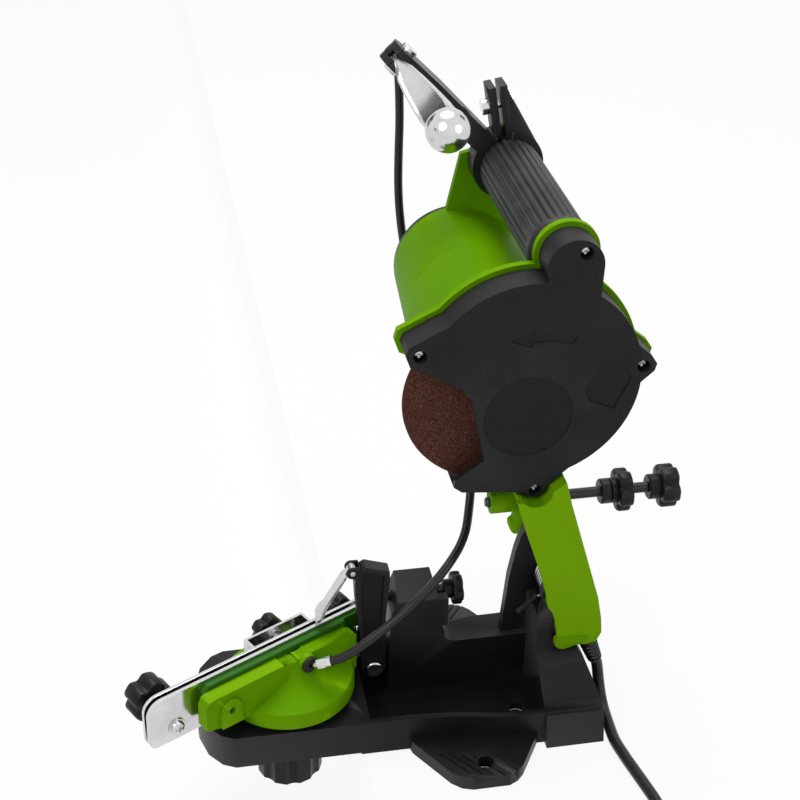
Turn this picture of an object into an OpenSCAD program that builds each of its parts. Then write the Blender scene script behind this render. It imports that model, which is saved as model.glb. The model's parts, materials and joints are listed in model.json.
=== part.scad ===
// Electric chainsaw sharpener, head raised, vise turned half way.
// The origin lies on the bench, midway between the two bench bolt holes.
// +X runs to the back of the machine, +Y along the motor, +Z up.

/* [Base] */
// Height of the base's side walls
rim_h = 22; // [18:0.5:26]
// Thickness of the base's floor
floor_t = 5; // [4:0.5:8]
// Thickness of the base's side walls
rim_t = 3.5; // [2.5:0.5:5]
// Half width of the base at the nose
nose_half = 37; // [34:0.5:40]
// Half width of the base at the back
tail_half = 45; // [42:0.5:50]
// Back end of the base
tail_x = 71; // [68:0.5:76]
// Front end of the base
nose_x = -151; // [-156:0.5:-146]
// Distance of each bench bolt hole from the middle
lug_hole_y = 62; // [60:0.5:66]
// Radius of a bench bolt hole
lug_hole_r = 4.5; // [3.5:0.25:5]
// Thickness of a bench lug
lug_t = 8; // [6:0.5:10]

/* [Stop tower] */
// Front face of the tower and its beam
tower_y = 5; // [4:0.5:6]
// Depth of the tower
tower_d = 23; // [20:0.5:26]
// Height of the tower at its front face
tower_h = 69.5; // [67:0.5:70]
// Height of the beam that ties the tower to the hinge
beam_h = 38; // [34:0.5:40]
// Depth of the beam
beam_d = 17; // [14:0.5:20]
// Wall of the hollow tower
tower_t = 3; // [2:0.5:4]
// Height of the stop's adjusting screw
stop_screw_z = 64; // [63:0.25:65]

/* [Head hinge] */
// Distance of the hinge behind the bench bolts
pivot_x = 52; // [50:0.5:54]
// Height of the hinge
pivot_z = 80; // [78:0.5:82]
// Radius of the hinge pin
pivot_r = 4; // [3:0.25:5]
// Half the gap between the two fork cheeks of the base
fork_in = 9; // [8.5:0.25:10]
// Thickness of a fork cheek
fork_t = 6; // [4:0.5:6.5]
// Half the outer width of the arm
arm_half = 20; // [19.5:0.25:22]
// Thickness of an arm cheek
arm_t = 3.6; // [3:0.2:4]
// Radius of the wire of the return spring
spring_wire_r = 1; // [0.8:0.1:1.2]
// Middle radius of the return spring
spring_r = 10.5; // [9:0.5:12]
// Turns of the return spring
spring_turns = 5; // [4:1:5]

/* [Wheel and motor] */
// Distance of the spindle behind the bench bolts
spindle_x = 12; // [11:0.5:13]
// Height of the spindle with the head raised
spindle_z = 202; // [201:0.5:203]
// Radius of the grinding wheel
wheel_r = 50; // [48:0.5:50.5]
// Thickness of the grinding wheel
wheel_t = 3.2; // [2.4:0.2:4.4]
// Radius of the wheel's bore
wheel_bore_r = 5; // [4.5:0.25:6]
// Radius of the spindle
spindle_r = 4; // [3.5:0.25:4.25]
// Radius of the motor's stator
stator_r = 25; // [23:0.5:25.5]
// Length of the stator
stator_len = 52; // [44:1:56]
// Radius of the motor housing at its front
barrel_r1 = 46; // [45:0.5:47]
// Radius of the motor housing at its back
barrel_r2 = 36; // [35:0.5:38]
// Back end of the motor housing
barrel_y = 133; // [131:0.5:134]
// Wall of the motor housing
barrel_t = 2.6; // [2:0.2:3.2]

/* [Guard] */
// Front face of the guard
guard_y = -14; // [-16:0.5:-13.5]
// Wall of the guard
guard_t = 2.5; // [2:0.25:2.75]
// Radius of the guard's round back
guard_r = 57.3; // [56.5:0.25:58]
// Thickness of the housing's flange
flange_t = 4; // [3:0.5:5]

/* [Handle] */
// Distance of the handle behind the bench bolts
grip_x = 42; // [41:0.5:43]
// Height of the handle
grip_z = 279; // [278:0.5:280]
// Radius of the grip
grip_r = 17; // [15.5:0.5:18]
// Radius of the tube in the grip
tube_r = 11; // [9:0.5:12]
// Wall of the tube in the grip
tube_t = 2; // [1:0.5:3]
// Length of the grip
grip_len = 108; // [104:1:110]
// Number of grooves along the grip
grip_ribs = 26; // [20:1:30]
// Turn of the lever about the handle
lever_turn = 136; // [134:1:138]
// Distance of the lever's pivot from the handle
lever_reach = 80; // [77:0.5:82]
// Length of the lever from pivot to ball
lever_len = 80; // [72:1:84]
// Radius of the lever's ball
ball_r = 11.5; // [9.5:0.5:12]

/* [Vise] */
// Place of the vise's turning axis
table_x = -100; // [-101:0.5:-99]
// Radius of the turntable
table_r = 37.4; // [36:0.2:38]
// Underside of the turntable
table_z = 25; // [24.5:0.25:25.5]
// Turn of the vise as photographed
vise_turn = 28; // [24:1:32]
// Top of the two rails
rail_top = 59; // [58:0.5:60]
// Bottom of the two rails
rail_bottom = 28.5; // [28:0.5:30]
// Thickness of a rail
rail_t = 2; // [1.5:0.25:2]
// Gap for the chain's drive links
slot_gap = 2.4; // [2:0.1:2.6]
// Left end of the rails
rail_u0 = -90; // [-92:0.5:-88]
// Right end of the rails
rail_u1 = 53; // [52:0.5:55]

/* [Cords] */
// Radius of the mains lead
cord_r = 3.25; // [3:0.05:3.5]
// Radius of the clamp cable's sleeve
cable_r = 2.5; // [2.25:0.05:2.75]
// Turns in the coil of mains lead
coil_turns = 6; // [4:2:6]

/* [Hidden] */
$fn = 64;
run = 0.06;       // radial clearance of a running fit
gap = 0.3;        // clearance between bodies
far = 400;        // longer than anything that is cut
fork_out = fork_in + fork_t;
rail_v = slot_gap / 2;
shaft_y0 = -11;
plate_y = 2;      // back edge of the guard
flange_y = plate_y + gap;
body_y = flange_y + flange_t;
stator_y = 34;
lever_y = barrel_y + 3;
ring_y = body_y + grip_len + gap;
ring_w = 13;
lever_t = 3;
ear_turn = 100;
ball_x = lever_reach - 13;
cable_x = -12;
cable_top_z = 331;
barrel_x = spindle_x + 6.5;
barrel_z = spindle_z + 9.5;
barrel_y0 = 18;   // front of the barrel's lower part, behind the chain stop's room
hub_x = spindle_x + 14;
hub_z = spindle_z + 13.5;
lobe_x = grip_x + 2;
lobe_z = grip_z + 1;
SCREWS = [[49, 287], [-32, 236.5], [31.5, 150.5], [84, 221]];
nose_lift = 1;    // the nose stands clear of the bench by this much
nose_back = -64;  // back end of that clearance
spare_hole = [28, -20];
spring_gap = 0.4; // least gap between the turns of a coil
bearing_r = 11;
bearing_w = 7;
bearing_y = barrel_y0 + 1;
rear_bearing_y = barrel_y - 8;
armature_r = 14;
comm_r = 9;
comm_y = stator_y + stator_len + 6;
switch_x = barrel_x + 13;
switch_z = barrel_z + 13;
depth_y = 8;
depth_z = pivot_z + 50;
depth_x0 = 10.5;
depth_x1 = 115;
lock_x = 74.5;    // front of the depth screw's lock knob
knob_x = 102;     // front of the depth screw's knob
relief_at = [67, -12, 48];
relief_tilt = 158.5;
relief_len = 20.4;
stop_x = -50;
stop_z = 24;
stop_y0 = tower_y + 1;
stop_y1 = stop_y0 + 8;
stop_r = 2.5;
stop_screw_y = 20;
pawl_x = -62;
pawl_z = 92;
pawl_y0 = stop_y0 + 1.5;
pawl_y1 = pawl_y0 + 5;
pawl_lean = 29.4;
pawl_len = 37;
pad_x = -44;
deck_z = table_z + 2.5;
wall_z = rail_top - 5;
strip_t = 3.8;
knob_v = rail_v + rail_t + gap;
wall_v1 = -rail_v - rail_t - strip_t;
wall_v0 = -15;
seat_v = wall_v0 - 2.6;   // face that the cable's grommet sits on
cable_u = 2.5;
cable_z = 49.5;
cable_lean = -46;
bolt_r = 2.5;
bolt_u0 = rail_u0 + 16.5;
bolt_z0 = rail_bottom + 8.5;
bolt_u1 = rail_u1 - 6.5;
bolt_z1 = 44;
bracket_v = 12;
clamp_z = 47;
coil_c = [131, -176];
coil_mid = 39;
CORD_Z = 3.3;
tail_run = 44;
plug_half = CORD_Z + 2 * cord_r + 0.6;

// Points that the mains lead runs through, chosen by hand
CORD = [
  [74.5, -12, 29], [75.8, -12, 25.7], [76.7, -12.6, 20.5], [77.1, -14.4, 15], [77.3, -18.5, 9], [77.3, -23.5, 5.2],
  [77, -30, 3.6], [76.3, -42, 3.3], [76, -53, 3.3], [77.3, -63, 3.3], [79, -73, 3.3], [82, -89, 3.3],
  [84, -101, 3.3], [85, -114, 3.3], [84.4, -127, 3.3], [83, -140, 3.3], [81.7, -153, 3.3], [81.2, -161, 3.3],
  [81.2, -169, 3.3]
];
// Points that the clamp cable runs through, chosen by hand
CABLE_TOP = [
  [-12, 157, 331], [-12, 162.5, 331], [-11.6, 168.2, 328.4], [-10.4, 172.4, 322], [-9, 173.6, 313],
  [-8.2, 173.6, 300], [-8, 172.5, 284], [-8.5, 171, 266], [-8.8, 169, 248], [-8.2, 166.4, 231],
  [-6.4, 162.6, 213], [-3.8, 157.6, 197], [-0.8, 150.4, 183.6], [2.2, 141, 174.4], [4.8, 130, 169.4],
  [7, 119, 168], [8.6, 109, 168], [9.6, 99.1, 168.4]
];
CABLE_LOW = [
  [9.6, 98.9, 168.4], [10.4, 91, 168.7], [11, 82, 165.6], [11.4, 72, 158.6], [11.6, 62, 150], [11.5, 53, 140.4],
  [11, 45, 132], [9.4, 36, 121.6], [6.6, 27, 112.6], [2.9, 17, 106.4], [-2.3, 8, 102.4], [-9, 0, 98.8],
  [-15.9, -6, 94.7], [-23.2, -11, 90.4], [-30.5, -15, 86], [-37.6, -18, 81.6], [-44.2, -20, 77.4],
  [-50.6, -21.4, 73.2], [-58.2, -22, 67.6], [-66, -22, 61.7], [-73.4, -21, 56.7], [-77.57, -19.65, 54.69]
];

// Extrudes a side view (x, z) from y0 to y1
module slab(y0, y1) {
  translate([0, y1, 0]) rotate([90, 0, 0]) linear_extrude(y1 - y0) children();
}

// Extrudes a front view (y, z) from x0 to x1
module loaf(x0, x1) {
  translate([x0, 0, 0]) rotate([90, 0, 90]) linear_extrude(x1 - x0) children();
}

// Round bar along Y
module rod_y(x, z, y0, y1, r) {
  translate([x, y1, z]) rotate([90, 0, 0]) cylinder(r = r, h = y1 - y0);
}

// Round bar along X
module rod_x(y, z, x0, x1, r) {
  translate([x0, y, z]) rotate([0, 90, 0]) cylinder(r = r, h = x1 - x0);
}

// Round washer along Z
module ring(r, bore, h) {
  difference() {
    cylinder(r = r, h = h);
    translate([0, 0, -1]) cylinder(r = bore, h = h + 2);
  }
}

// Moulded knob with finger lobes, its face at z = h
module lobed_knob(r, h, hub_r, hub_h, bore, lobes = 5, cap = 2.5) {
  difference() {
    union() {
      cylinder(r = hub_r, h = hub_h + 1);
      translate([0, 0, hub_h]) linear_extrude(h - hub_h) difference() {
        circle(r);
        for (i = [0:lobes - 1]) rotate(i * 360 / lobes) translate([r * 1.22, 0]) circle(r * 0.42);
      }
    }
    translate([0, 0, -1]) cylinder(r = bore, h = h + 1 - cap);
    translate([0, 0, h - 1.2]) cylinder(r = r * 0.45, h = 3);
  }
}

// Puts a piece in the vise's own frame: x along the rails, y away from the near rail
module on_vise() {
  translate([table_x, 0, 0]) rotate([0, 0, vise_turn]) children();
}

function unit(v) = v / norm(v);
function lead(p, i) = unit(p[min(i + 1, len(p) - 1)] - p[max(i - 1, 0)]);
function side(t) = abs(t.z) < 0.9 ? cross(t, [0, 0, 1]) : cross(t, [1, 0, 0]);
function sides(p, i = 0, last = [0, 0, 0]) = i == len(p) ? [] :
  let (t = lead(p, i), raw = i == 0 ? side(t) : last - t * (last * t), n = unit(raw))
  concat([n], sides(p, i + 1, n));

// Least gap between the turns of a coil of wire, over points that stand at least half a turn apart
function turn_gap(p, r, apart) =
  min([for (i = [0:len(p) - 1], j = [i + apart:1:len(p) - 1]) norm(p[i] - p[j])]) - 2 * r;

module say_gap(name, found) {
  echo(str(name, ": least gap between turns ", found, " mm, wanted over ", spring_gap));
}

// Round tube along a list of points
module tube(path, r, n = 8) {
  across = sides(path);
  rings = [for (i = [0:len(path) - 1]) let (t = lead(path, i), a = across[i], b = cross(t, a))
    [for (k = [0:n - 1]) path[i] + r * (a * cos(360 * k / n) + b * sin(360 * k / n))]];
  last = (len(path) - 1) * n;
  walls = [for (i = [0:len(path) - 2], k = [0:n - 1]) let (a = i * n + k, b = i * n + (k + 1) % n)
    each [[a, b + n, b], [a, a + n, b + n]]];
  start = [for (k = [1:n - 2]) [0, k, k + 1]];
  end = [for (k = [1:n - 2]) [last, last + k + 1, last + k]];
  polyhedron([for (rg = rings) each rg], concat(walls, start, end));
}

// Outline of the base seen from above, drawn in by d all round
module base_plan(d = 0) {
  polygon([
    [nose_x + d, -10], [nose_x + 4 + d, -24 + d * 0.5], [nose_x + 11 + d * 0.6, -33 + d * 0.8],
    [nose_x + 18 + d * 0.3, 0.5 - nose_half + d], [-35, d - nose_half],
    [-12, -39 + d], [14, 1 - tail_half + d], [tail_x - 3, d - tail_half], [tail_x - d, 3 - tail_half + d],
    [tail_x - d, tail_half - 3 - d], [tail_x - 3, tail_half - d], [14, tail_half - 1 - d], [-12, 39 - d],
    [-35, nose_half - d], [nose_x + 18 + d * 0.3, nose_half - 0.5 - d],
    [nose_x + 11 + d * 0.6, 33 - d * 0.8], [nose_x + 4 + d, 24 - d * 0.5], [nose_x + d, 10]
  ]);
}

// Bench lug on the near side
module lug() {
  difference() {
    linear_extrude(lug_t) polygon([
      [-38, 4 - nose_half], [-36, -41], [-20, -lug_hole_y - 5], [-15, -lug_hole_y - 9.5],
      [-9, -lug_hole_y - 11.5], [11, -lug_hole_y - 11.5], [16, -lug_hole_y - 9], [20, -lug_hole_y - 5],
      [34, 3 - tail_half - 2], [36, 6 - tail_half]
    ]);
    translate([0, -lug_hole_y, -1]) cylinder(r = lug_hole_r, h = lug_t + 2);
    for (i = [0:5]) translate([-24 + i * 6, -lug_hole_y + 10 - i * 1.5, lug_t - 0.5])
      rotate([0, 0, -52]) cube([22, 0.9, 2]);
  }
}

// Side view of the tower and its beam, drawn in by d
module tower_side(d = 0) {
  difference() {
    polygon([
      [-42 + d, 0], [-40.4 + d, tower_h - 8], [-38 + d, tower_h - 2 - d * 0.5], [-35, tower_h + 6 - d],
      [-15, tower_h + 6 - d], [-13 - d, tower_h - 2 - d * 0.5], [-11 - d, beam_h + 8], [-3, beam_h - d],
      [40, beam_h - d], [40, 0]
    ]);
    translate([-3, beam_h + 8 - d]) circle(r = 8 - d * 0.6);
  }
}

// Pedestal under the hinge: a flared side view cut by a flared front view
module pedestal() {
  intersection() {
    slab(-tail_half - 8, tail_half + 8) difference() {
      polygon([[38, 0], [tail_x, 0], [tail_x, rim_h], [tail_x - 11, 50], [tail_x - 11, pivot_z - 14], [38, pivot_z - 14]]);
      translate([tail_x + 22, rim_h + 34]) circle(r = 34);
    }
    loaf(30, tail_x + 2) difference() {
      polygon([
        [-tail_half - 4.5, 0], [-tail_half, rim_h], [-fork_out - 1, rim_h + 22], [-fork_out, rim_h + 30],
        [-fork_out, pivot_z], [fork_out, pivot_z], [fork_out, rim_h + 30], [fork_out + 1, rim_h + 22],
        [tail_half, rim_h], [tail_half + 4.5, 0]
      ]);
      for (s = [-1, 1]) translate([s * (tail_half + 12), rim_h + 34]) circle(r = 38);
    }
  }
}

// Two fork cheeks that carry the hinge pin
module fork() {
  slab(-fork_out, -fork_in) union() {
    translate([pivot_x, pivot_z]) circle(r = 12.5);
    polygon([[38, pivot_z - 15], [43.5, pivot_z - 1], [pivot_x, pivot_z + 5], [pivot_x + 9, pivot_z], [62, pivot_z - 15]]);
  }
  slab(fork_in, fork_out) union() {
    translate([pivot_x, pivot_z]) circle(r = 12.5);
    polygon([
      [38, 30], [24, 38], [25, 52], [27, 76], [30, 94], [32.5, 104], [36, 110], [40, 112], [43.5, 108],
      [48, 97], [55, 90], [62, pivot_z - 5], [62, 30]
    ]);
  }
}

module base_frame() {
  color("#1c1c1e") difference() {
    union() {
      // Tray with its walls, and a solid deck under the turntable
      linear_extrude(floor_t) base_plan();
      difference() {
        linear_extrude(rim_h) base_plan();
        intersection() {
          translate([0, 0, floor_t]) linear_extrude(far) base_plan(rim_t);
          translate([table_x + table_r + 4, -far / 2, 0]) cube([38 - table_x - table_r - 4, far, far]);
        }
      }
      translate([table_x, 0, rim_h - 1]) cylinder(r = table_r - 2, h = table_z - gap - rim_h + 1);
      lug();
      mirror([0, 1, 0]) lug();
      // Hollow tower, open at its back, and the beam behind it
      difference() {
        intersection() {
          slab(tower_y, tower_y + tower_d) tower_side();
          loaf(-60, 60) polygon([
            [tower_y, 0], [tower_y, tower_h], [tower_y + tower_d, tower_h + 5], [tower_y + tower_d, 0]
          ]);
        }
        difference() {
          slab(tower_y + tower_t, far) tower_side(tower_t);
          translate([-60, 0, stop_screw_z - 7]) cube([70, far, 30]);
        }
        slab(tower_y + beam_d, far) polygon([[-9, -1], [-9, beam_h + 12], [60, beam_h + 12], [60, -1]]);
      }
      // Ledge that the depth screw lands on
      translate([-14, tower_y, 50]) cube([6, 6, tower_h - 50.9]);
      pedestal();
      fork();
      // Lug that carries the chain stop
      slab(stop_y1 + 2.3, stop_y1 + 6.8)
        polygon([[-60, 2], [-60, 20], [-54, rail_bottom - 0.6], [-45, rail_bottom - 0.6], [-40, 24], [-40, 2]]);
      // Floor ribs
      for (i = [0:5]) translate([-30 + i * 7, -24, floor_t - 0.5]) rotate([0, 0, -50]) cube([16, 1, 1.2]);
    }
    // Room for the return spring between the fork cheeks
    rod_y(pivot_x, pivot_z, -fork_in, fork_in, 15);
    rod_y(pivot_x, pivot_z, -far / 2, far / 2, pivot_r + run);
    // Hole for the turntable's bolt, and the spare bench hole
    translate([table_x, 0, -1]) cylinder(r = 5 + run, h = far);
    translate([spare_hole[0], spare_hole[1], -1]) cylinder(r = lug_hole_r, h = floor_t + 2);
    // The nose reaches past the bench and stands clear of it
    translate([nose_x - 1, -far / 2, -1]) cube([nose_back - nose_x + 1, far, 1 + nose_lift]);
    // Nut thread of the stop's screw, as a plain hole
    rod_x(stop_screw_y, stop_screw_z, -60, 0, 3 + run);
    rod_y(stop_x, stop_z, 0, 40, stop_r + run);
  }
}

module hinge_pin() {
  color("silver") union() {
    rod_y(pivot_x, pivot_z, -arm_half + 1.2, arm_half + 0.6, pivot_r);
    rod_y(pivot_x, pivot_z, arm_half + 0.3, arm_half + 3.4, pivot_r + 3);
  }
}

// One unbroken wire: a leg on the base, the coil, and a leg under the arm
function spring_path() = let (
  pitch = (2 * fork_in - 3.2) / (spring_turns + 0.6),
  start = -fork_in + 1.6,
  coil = [for (i = [0:8 * spring_turns + 4]) let (a = 205 + i * 45)
    [pivot_x + spring_r * cos(a), start + pitch * (i + 0.5) / 8, pivot_z + spring_r * sin(a)]]
) concat(
  [[pivot_x - spring_r - 13, start, pivot_z - 13.6], [pivot_x - spring_r - 6, start, pivot_z - 9.4]],
  coil
);

module return_spring() {
  say_gap("return_spring", turn_gap(spring_path(), spring_wire_r, 4));
  color("silver") tube(spring_path(), spring_wire_r, 6);
}

// Bolt that the chain stop swings on
module stop_pivot_bolt() {
  color("silver") union() {
    rod_y(stop_x, stop_z, stop_y0 - 2.6, stop_y0 - gap, 5);
    rod_y(stop_x, stop_z, stop_y0 - 1, stop_y1 + 4, stop_r);
  }
}

// Upright of the chain stop
module stop_carrier() {
  color("#1d1d1f") difference() {
    union() {
      slab(stop_y0, stop_y1) union() {
        translate([stop_x, stop_z]) circle(r = 7);
        polygon([
          [stop_x - 6.5, stop_z + 2], [-58, 50], [-60, 70], [-61, 84], [-59, 93], [-55, 95.5], [-41.5, 91],
          [-41.3, 84], [-43.4, 60], [stop_x + 6.5, stop_z + 2]
        ]);
        translate([pawl_x, pawl_z]) circle(r = 3.6);
        polygon([[pawl_x, pawl_z - 3.6], [-58, pawl_z - 6], [-58, pawl_z + 3.4], [pawl_x, pawl_z + 3.6]]);
      }
      // Pad that the adjusting screw bears on
      translate([-48, stop_y1 - 1, stop_screw_z - 5]) cube([pad_x + 48, stop_screw_y + 4 - stop_y1, 10]);
    }
    // Recess in the near face
    slab(stop_y0 - 1, stop_y0 + 2.5) polygon([[-55, 42], [-57.5, 72], [-57, 88], [-54, 91], [-44.5, 88], [-46.5, 44]]);
    translate([pawl_x - 5, pawl_y0 - gap, pawl_z - 5]) cube([8.6, pawl_y1 - pawl_y0 + 2 * gap, 10]);
    rod_y(stop_x, stop_z, 0, 30, stop_r + run);
    rod_y(pawl_x, pawl_z, 0, 30, 1.5);
  }
}

module pawl_pin() {
  color("silver") rod_y(pawl_x, pawl_z, stop_y0 - 0.6, stop_y1 + 0.6, 1.5);
}

// Pressed strip that holds the chain's tooth, with a rolled eye
module stop_pawl() {
  color("gainsboro") difference() {
    union() {
      rod_y(pawl_x, pawl_z, pawl_y0, pawl_y1, 3);
      translate([pawl_x, (pawl_y0 + pawl_y1) / 2, pawl_z]) rotate([0, 180 + pawl_lean, 0])
        translate([1.4, 0, 0]) rotate([90, 0, 90]) linear_extrude(1.6) polygon([
          [-1.6, 1], [-3.8, 5.5], [-3.8, 26], [-6.6, 33], [-4, pawl_len], [5, pawl_len - 1.5], [6.2, 32],
          [3.8, 26], [3.8, 5.5], [1.6, 1]
        ]);
    }
    rod_y(pawl_x, pawl_z, 0, 30, 1.5 + run);
  }
}

// Threaded rod that tilts the chain stop
module stop_screw() {
  color("#303030") rod_x(stop_screw_y, stop_screw_z, pad_x + gap, -1, 3);
}

module stop_knob() {
  color("#1a1a1a") translate([-8.6, stop_screw_y, stop_screw_z]) rotate([0, 90, 0])
    lobed_knob(9.5, 11, 5.5, 5, 3 + run);
}

// Turntable with the wall that backs the rails
module vise_body() {
  color("#6aa412") on_vise() difference() {
    union() {
      translate([0, 0, table_z]) cylinder(r = table_r, h = deck_z - table_z);
      intersection() {
        rotate_extrude($fn = 96) polygon([
          [0, table_z], [table_r - 1.5, table_z], [table_r, table_z + 1.5], [table_r, table_z + 7],
          [table_r - 1.2, table_z + 9], [table_r - 7, table_z + 10.5], [table_r - 14, table_z + 13.5],
          [table_r - 18.5, table_z + 17], [table_r - 20.5, table_z + 21], [table_r - 22, wall_z - 1], [0, wall_z - 1]
        ]);
        translate([-60, -60, 0]) cube([120, 60 + wall_v1, far]);
      }
      slab(wall_v0, wall_v1) polygon([
        [-62, 35], [-62, wall_z - 5], [-60, wall_z - 1], [-56, wall_z], [32, wall_z], [37, wall_z - 3], [37, deck_z],
        [-30, deck_z], [-36, 31], [-52, 32.5]
      ]);
      slab(wall_v0 - 2, wall_v0) union() {
        translate([-47, 43]) circle(r = 6.5);
        translate([-53.5, 33]) square([13, 10]);
      }
      // Raised seat round the cable's grommet
      translate([cable_u, wall_v0 + 1, cable_z]) rotate([90, 0, 0]) cylinder(r = 5.5, h = wall_v0 + 1 - seat_v);
    }
    rod_y(-47, 43, wall_v0 - 9, wall_v1 - 2, 2);
    translate([0, 0, table_z - 1]) cylinder(r = 5, h = 9);
    translate([0, 0, deck_z - 2.2]) cylinder(r = 8.4, h = far);
    // Notch in the wall's top edge
    translate([-12, wall_v0 - 1, wall_z - 1]) cube([9, far, 4]);
    translate([cable_u, 0, cable_z]) rotate([90, 0, 0]) cylinder(r = 3.4, h = far);
    translate([cable_u, wall_v1 + 1, cable_z]) rotate([90, 0, 0]) cylinder(r = 2.2, h = 30);
  }
}

// Outline of the near rail, with its deep left end
module rail_side(low) {
  difference() {
    union() {
      translate([rail_u0 + 9, low]) square([rail_u1 - rail_u0 - 9, rail_top - low]);
      translate([rail_u0, low + 5]) square([12, rail_top - low - 14]);
      translate([rail_u0 + 9, rail_top - 9]) circle(r = 9);
      translate([rail_u0 + 5, low + 5]) circle(r = 5);
      translate([rail_u0 + 5, low]) square([5, 5]);
    }
    translate([bolt_u0, bolt_z0]) circle(r = bolt_r + 0.02);
    translate([bolt_u1, bolt_z1]) circle(r = bolt_r + 0.02);
  }
}

module near_rail() {
  color("gainsboro") on_vise() slab(-rail_v - rail_t, -rail_v) rail_side(rail_bottom);
}

module far_rail() {
  color("gainsboro") on_vise() difference() {
    slab(rail_v, rail_v + rail_t) rail_side(rail_bottom);
    for (b = [[bolt_u0, bolt_z0], [bolt_u1, bolt_z1]]) rod_y(b[0], b[1], 0, 9, bolt_r + 0.5);
  }
}

// Moulded strip between the wall and the near rail
module jaw_strip() {
  color("#2f6d16") on_vise() difference() {
    slab(wall_v1, -rail_v - rail_t) polygon([
      [-58, deck_z], [-58, rail_top - 6], [-55, rail_top - 2], [52, rail_top - 2], [52, 34], [38, 32], [32, deck_z]
    ]);
    rod_y(bolt_u1, bolt_z1, -rail_v - rail_t - 2.6, far, 4.3);
    // Thinner end beside the chain stop
    translate([35, -far, 0]) cube([far, far - rail_v - rail_t - 2.1, far]);
  }
}

// Bolts through both rails, a washer under each near head
module rail_bolts() {
  color("silver") on_vise() {
    rod_y(bolt_u0, bolt_z0, -rail_v - rail_t - 2.4, -rail_v - rail_t, 5);
    rod_y(bolt_u0, bolt_z0, -rail_v - rail_t - 1, 27, bolt_r);
    rod_y(bolt_u1, bolt_z1, -rail_v - rail_t - 2.4, -rail_v - rail_t, 4);
    rod_y(bolt_u1, bolt_z1, -rail_v - rail_t - 1, 17, bolt_r);
  }
}

module end_knob() {
  color("#1a1a1a") on_vise() translate([bolt_u0, knob_v, bolt_z0]) rotate([-90, 0, 0])
    lobed_knob(12.5, 28.5, 5.5, 15.5, bolt_r + run);
}

module tail_knob() {
  color("#1a1a1a") on_vise() translate([bolt_u1, knob_v, bolt_z1]) rotate([-90, 0, 0])
    lobed_knob(10, 18, 5, 8, bolt_r + run);
}

// Folded bracket behind the far rail
module clamp_bracket() {
  color("gainsboro") on_vise() difference() {
    union() {
      translate([-19, bracket_v, deck_z]) cube([39, 1.5, rail_top - 2 - deck_z]);
      for (u = [-19, 18.5]) translate([u, rail_v + rail_t + 1.5, 40]) cube([1.5, bracket_v - rail_v - rail_t, rail_top - 42]);
      translate([-19, bracket_v - 7, deck_z]) cube([39, 8, 1.5]);
    }
    rod_y(3, clamp_z, 0, 30, 2.5 + run);
    translate([-10, bracket_v - 3.5, deck_z - 1]) cylinder(r = 1.8, h = 9);
  }
}

// Push spring round the clamp's screw
module clamp_spring() {
  turns = 3;
  first = rail_v + rail_t + 1.1;
  pitch = (bracket_v - first - 1) / (turns + 0.5);
  path = [for (i = [0:8 * turns]) let (a = i * 45)
    [3 + 4.4 * cos(a), first + pitch * (0.25 + i / 8), clamp_z + 4.4 * sin(a)]];
  say_gap("clamp_spring", turn_gap(path, 0.6, 4));
  color("silver") on_vise() tube(path, 0.6, 6);
}

module clamp_knob() {
  color("#1a1a1a") on_vise() {
    rod_y(3, clamp_z, rail_v + rail_t + gap, bracket_v + 9, 2.5);
    translate([3, bracket_v + 1.5 + gap, clamp_z]) rotate([-90, 0, 0]) lobed_knob(9.5, 13, 5, 5, 2.4);
  }
}

// Rubber ring where the clamp cable enters the wall
module cable_grommet() {
  color("#222222") on_vise() translate([cable_u, seat_v, cable_z]) rotate([90, 0, 0]) difference() {
    union() {
      cylinder(r = 4.8, h = 1.8);
      translate([0, 0, -4]) cylinder(r = 3.35, h = 5);
    }
    translate([0, 0, -5]) cylinder(r = 1.2, h = 12);
  }
}

// Crimped end of the clamp cable, leaning towards the machine's back
module cable_ferrule() {
  color("silver") on_vise() translate([cable_u, seat_v - 1.9, cable_z]) rotate([0, 0, cable_lean]) rotate([0, 66, 0]) {
    translate([0, 0, 2.2]) cylinder(r = 2, h = 3);
    translate([0, 0, 4]) cylinder(r = 3, h = 5.5, $fn = 6);
    translate([0, 0, 9]) cylinder(r = 3.1, h = 3.5);
  }
}

module turntable_bolt() {
  color("silver") translate([table_x, 0, 0]) union() {
    translate([0, 0, deck_z - 2.2]) cylinder(r = 8, h = 2);
    translate([0, 0, -28]) cylinder(r = 5 - run / 2, h = 28 + deck_z - 1);
  }
}

// Faceted knob that locks the turntable from below
module lock_knob() {
  color("#1a1a1a") translate([table_x, 0, -35]) difference() {
    union() {
      cylinder(r = 20, h = 19, $fn = 8);
      translate([0, 0, 18]) cylinder(r = 12, h = 17 + nose_lift - gap);
    }
    translate([0, 0, 3]) cylinder(r = 5 + run, h = 40);
    for (i = [0:7]) rotate([0, 0, i * 45]) translate([25.5, 0, -1]) cylinder(r = 8, h = 40);
  }
}

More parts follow.
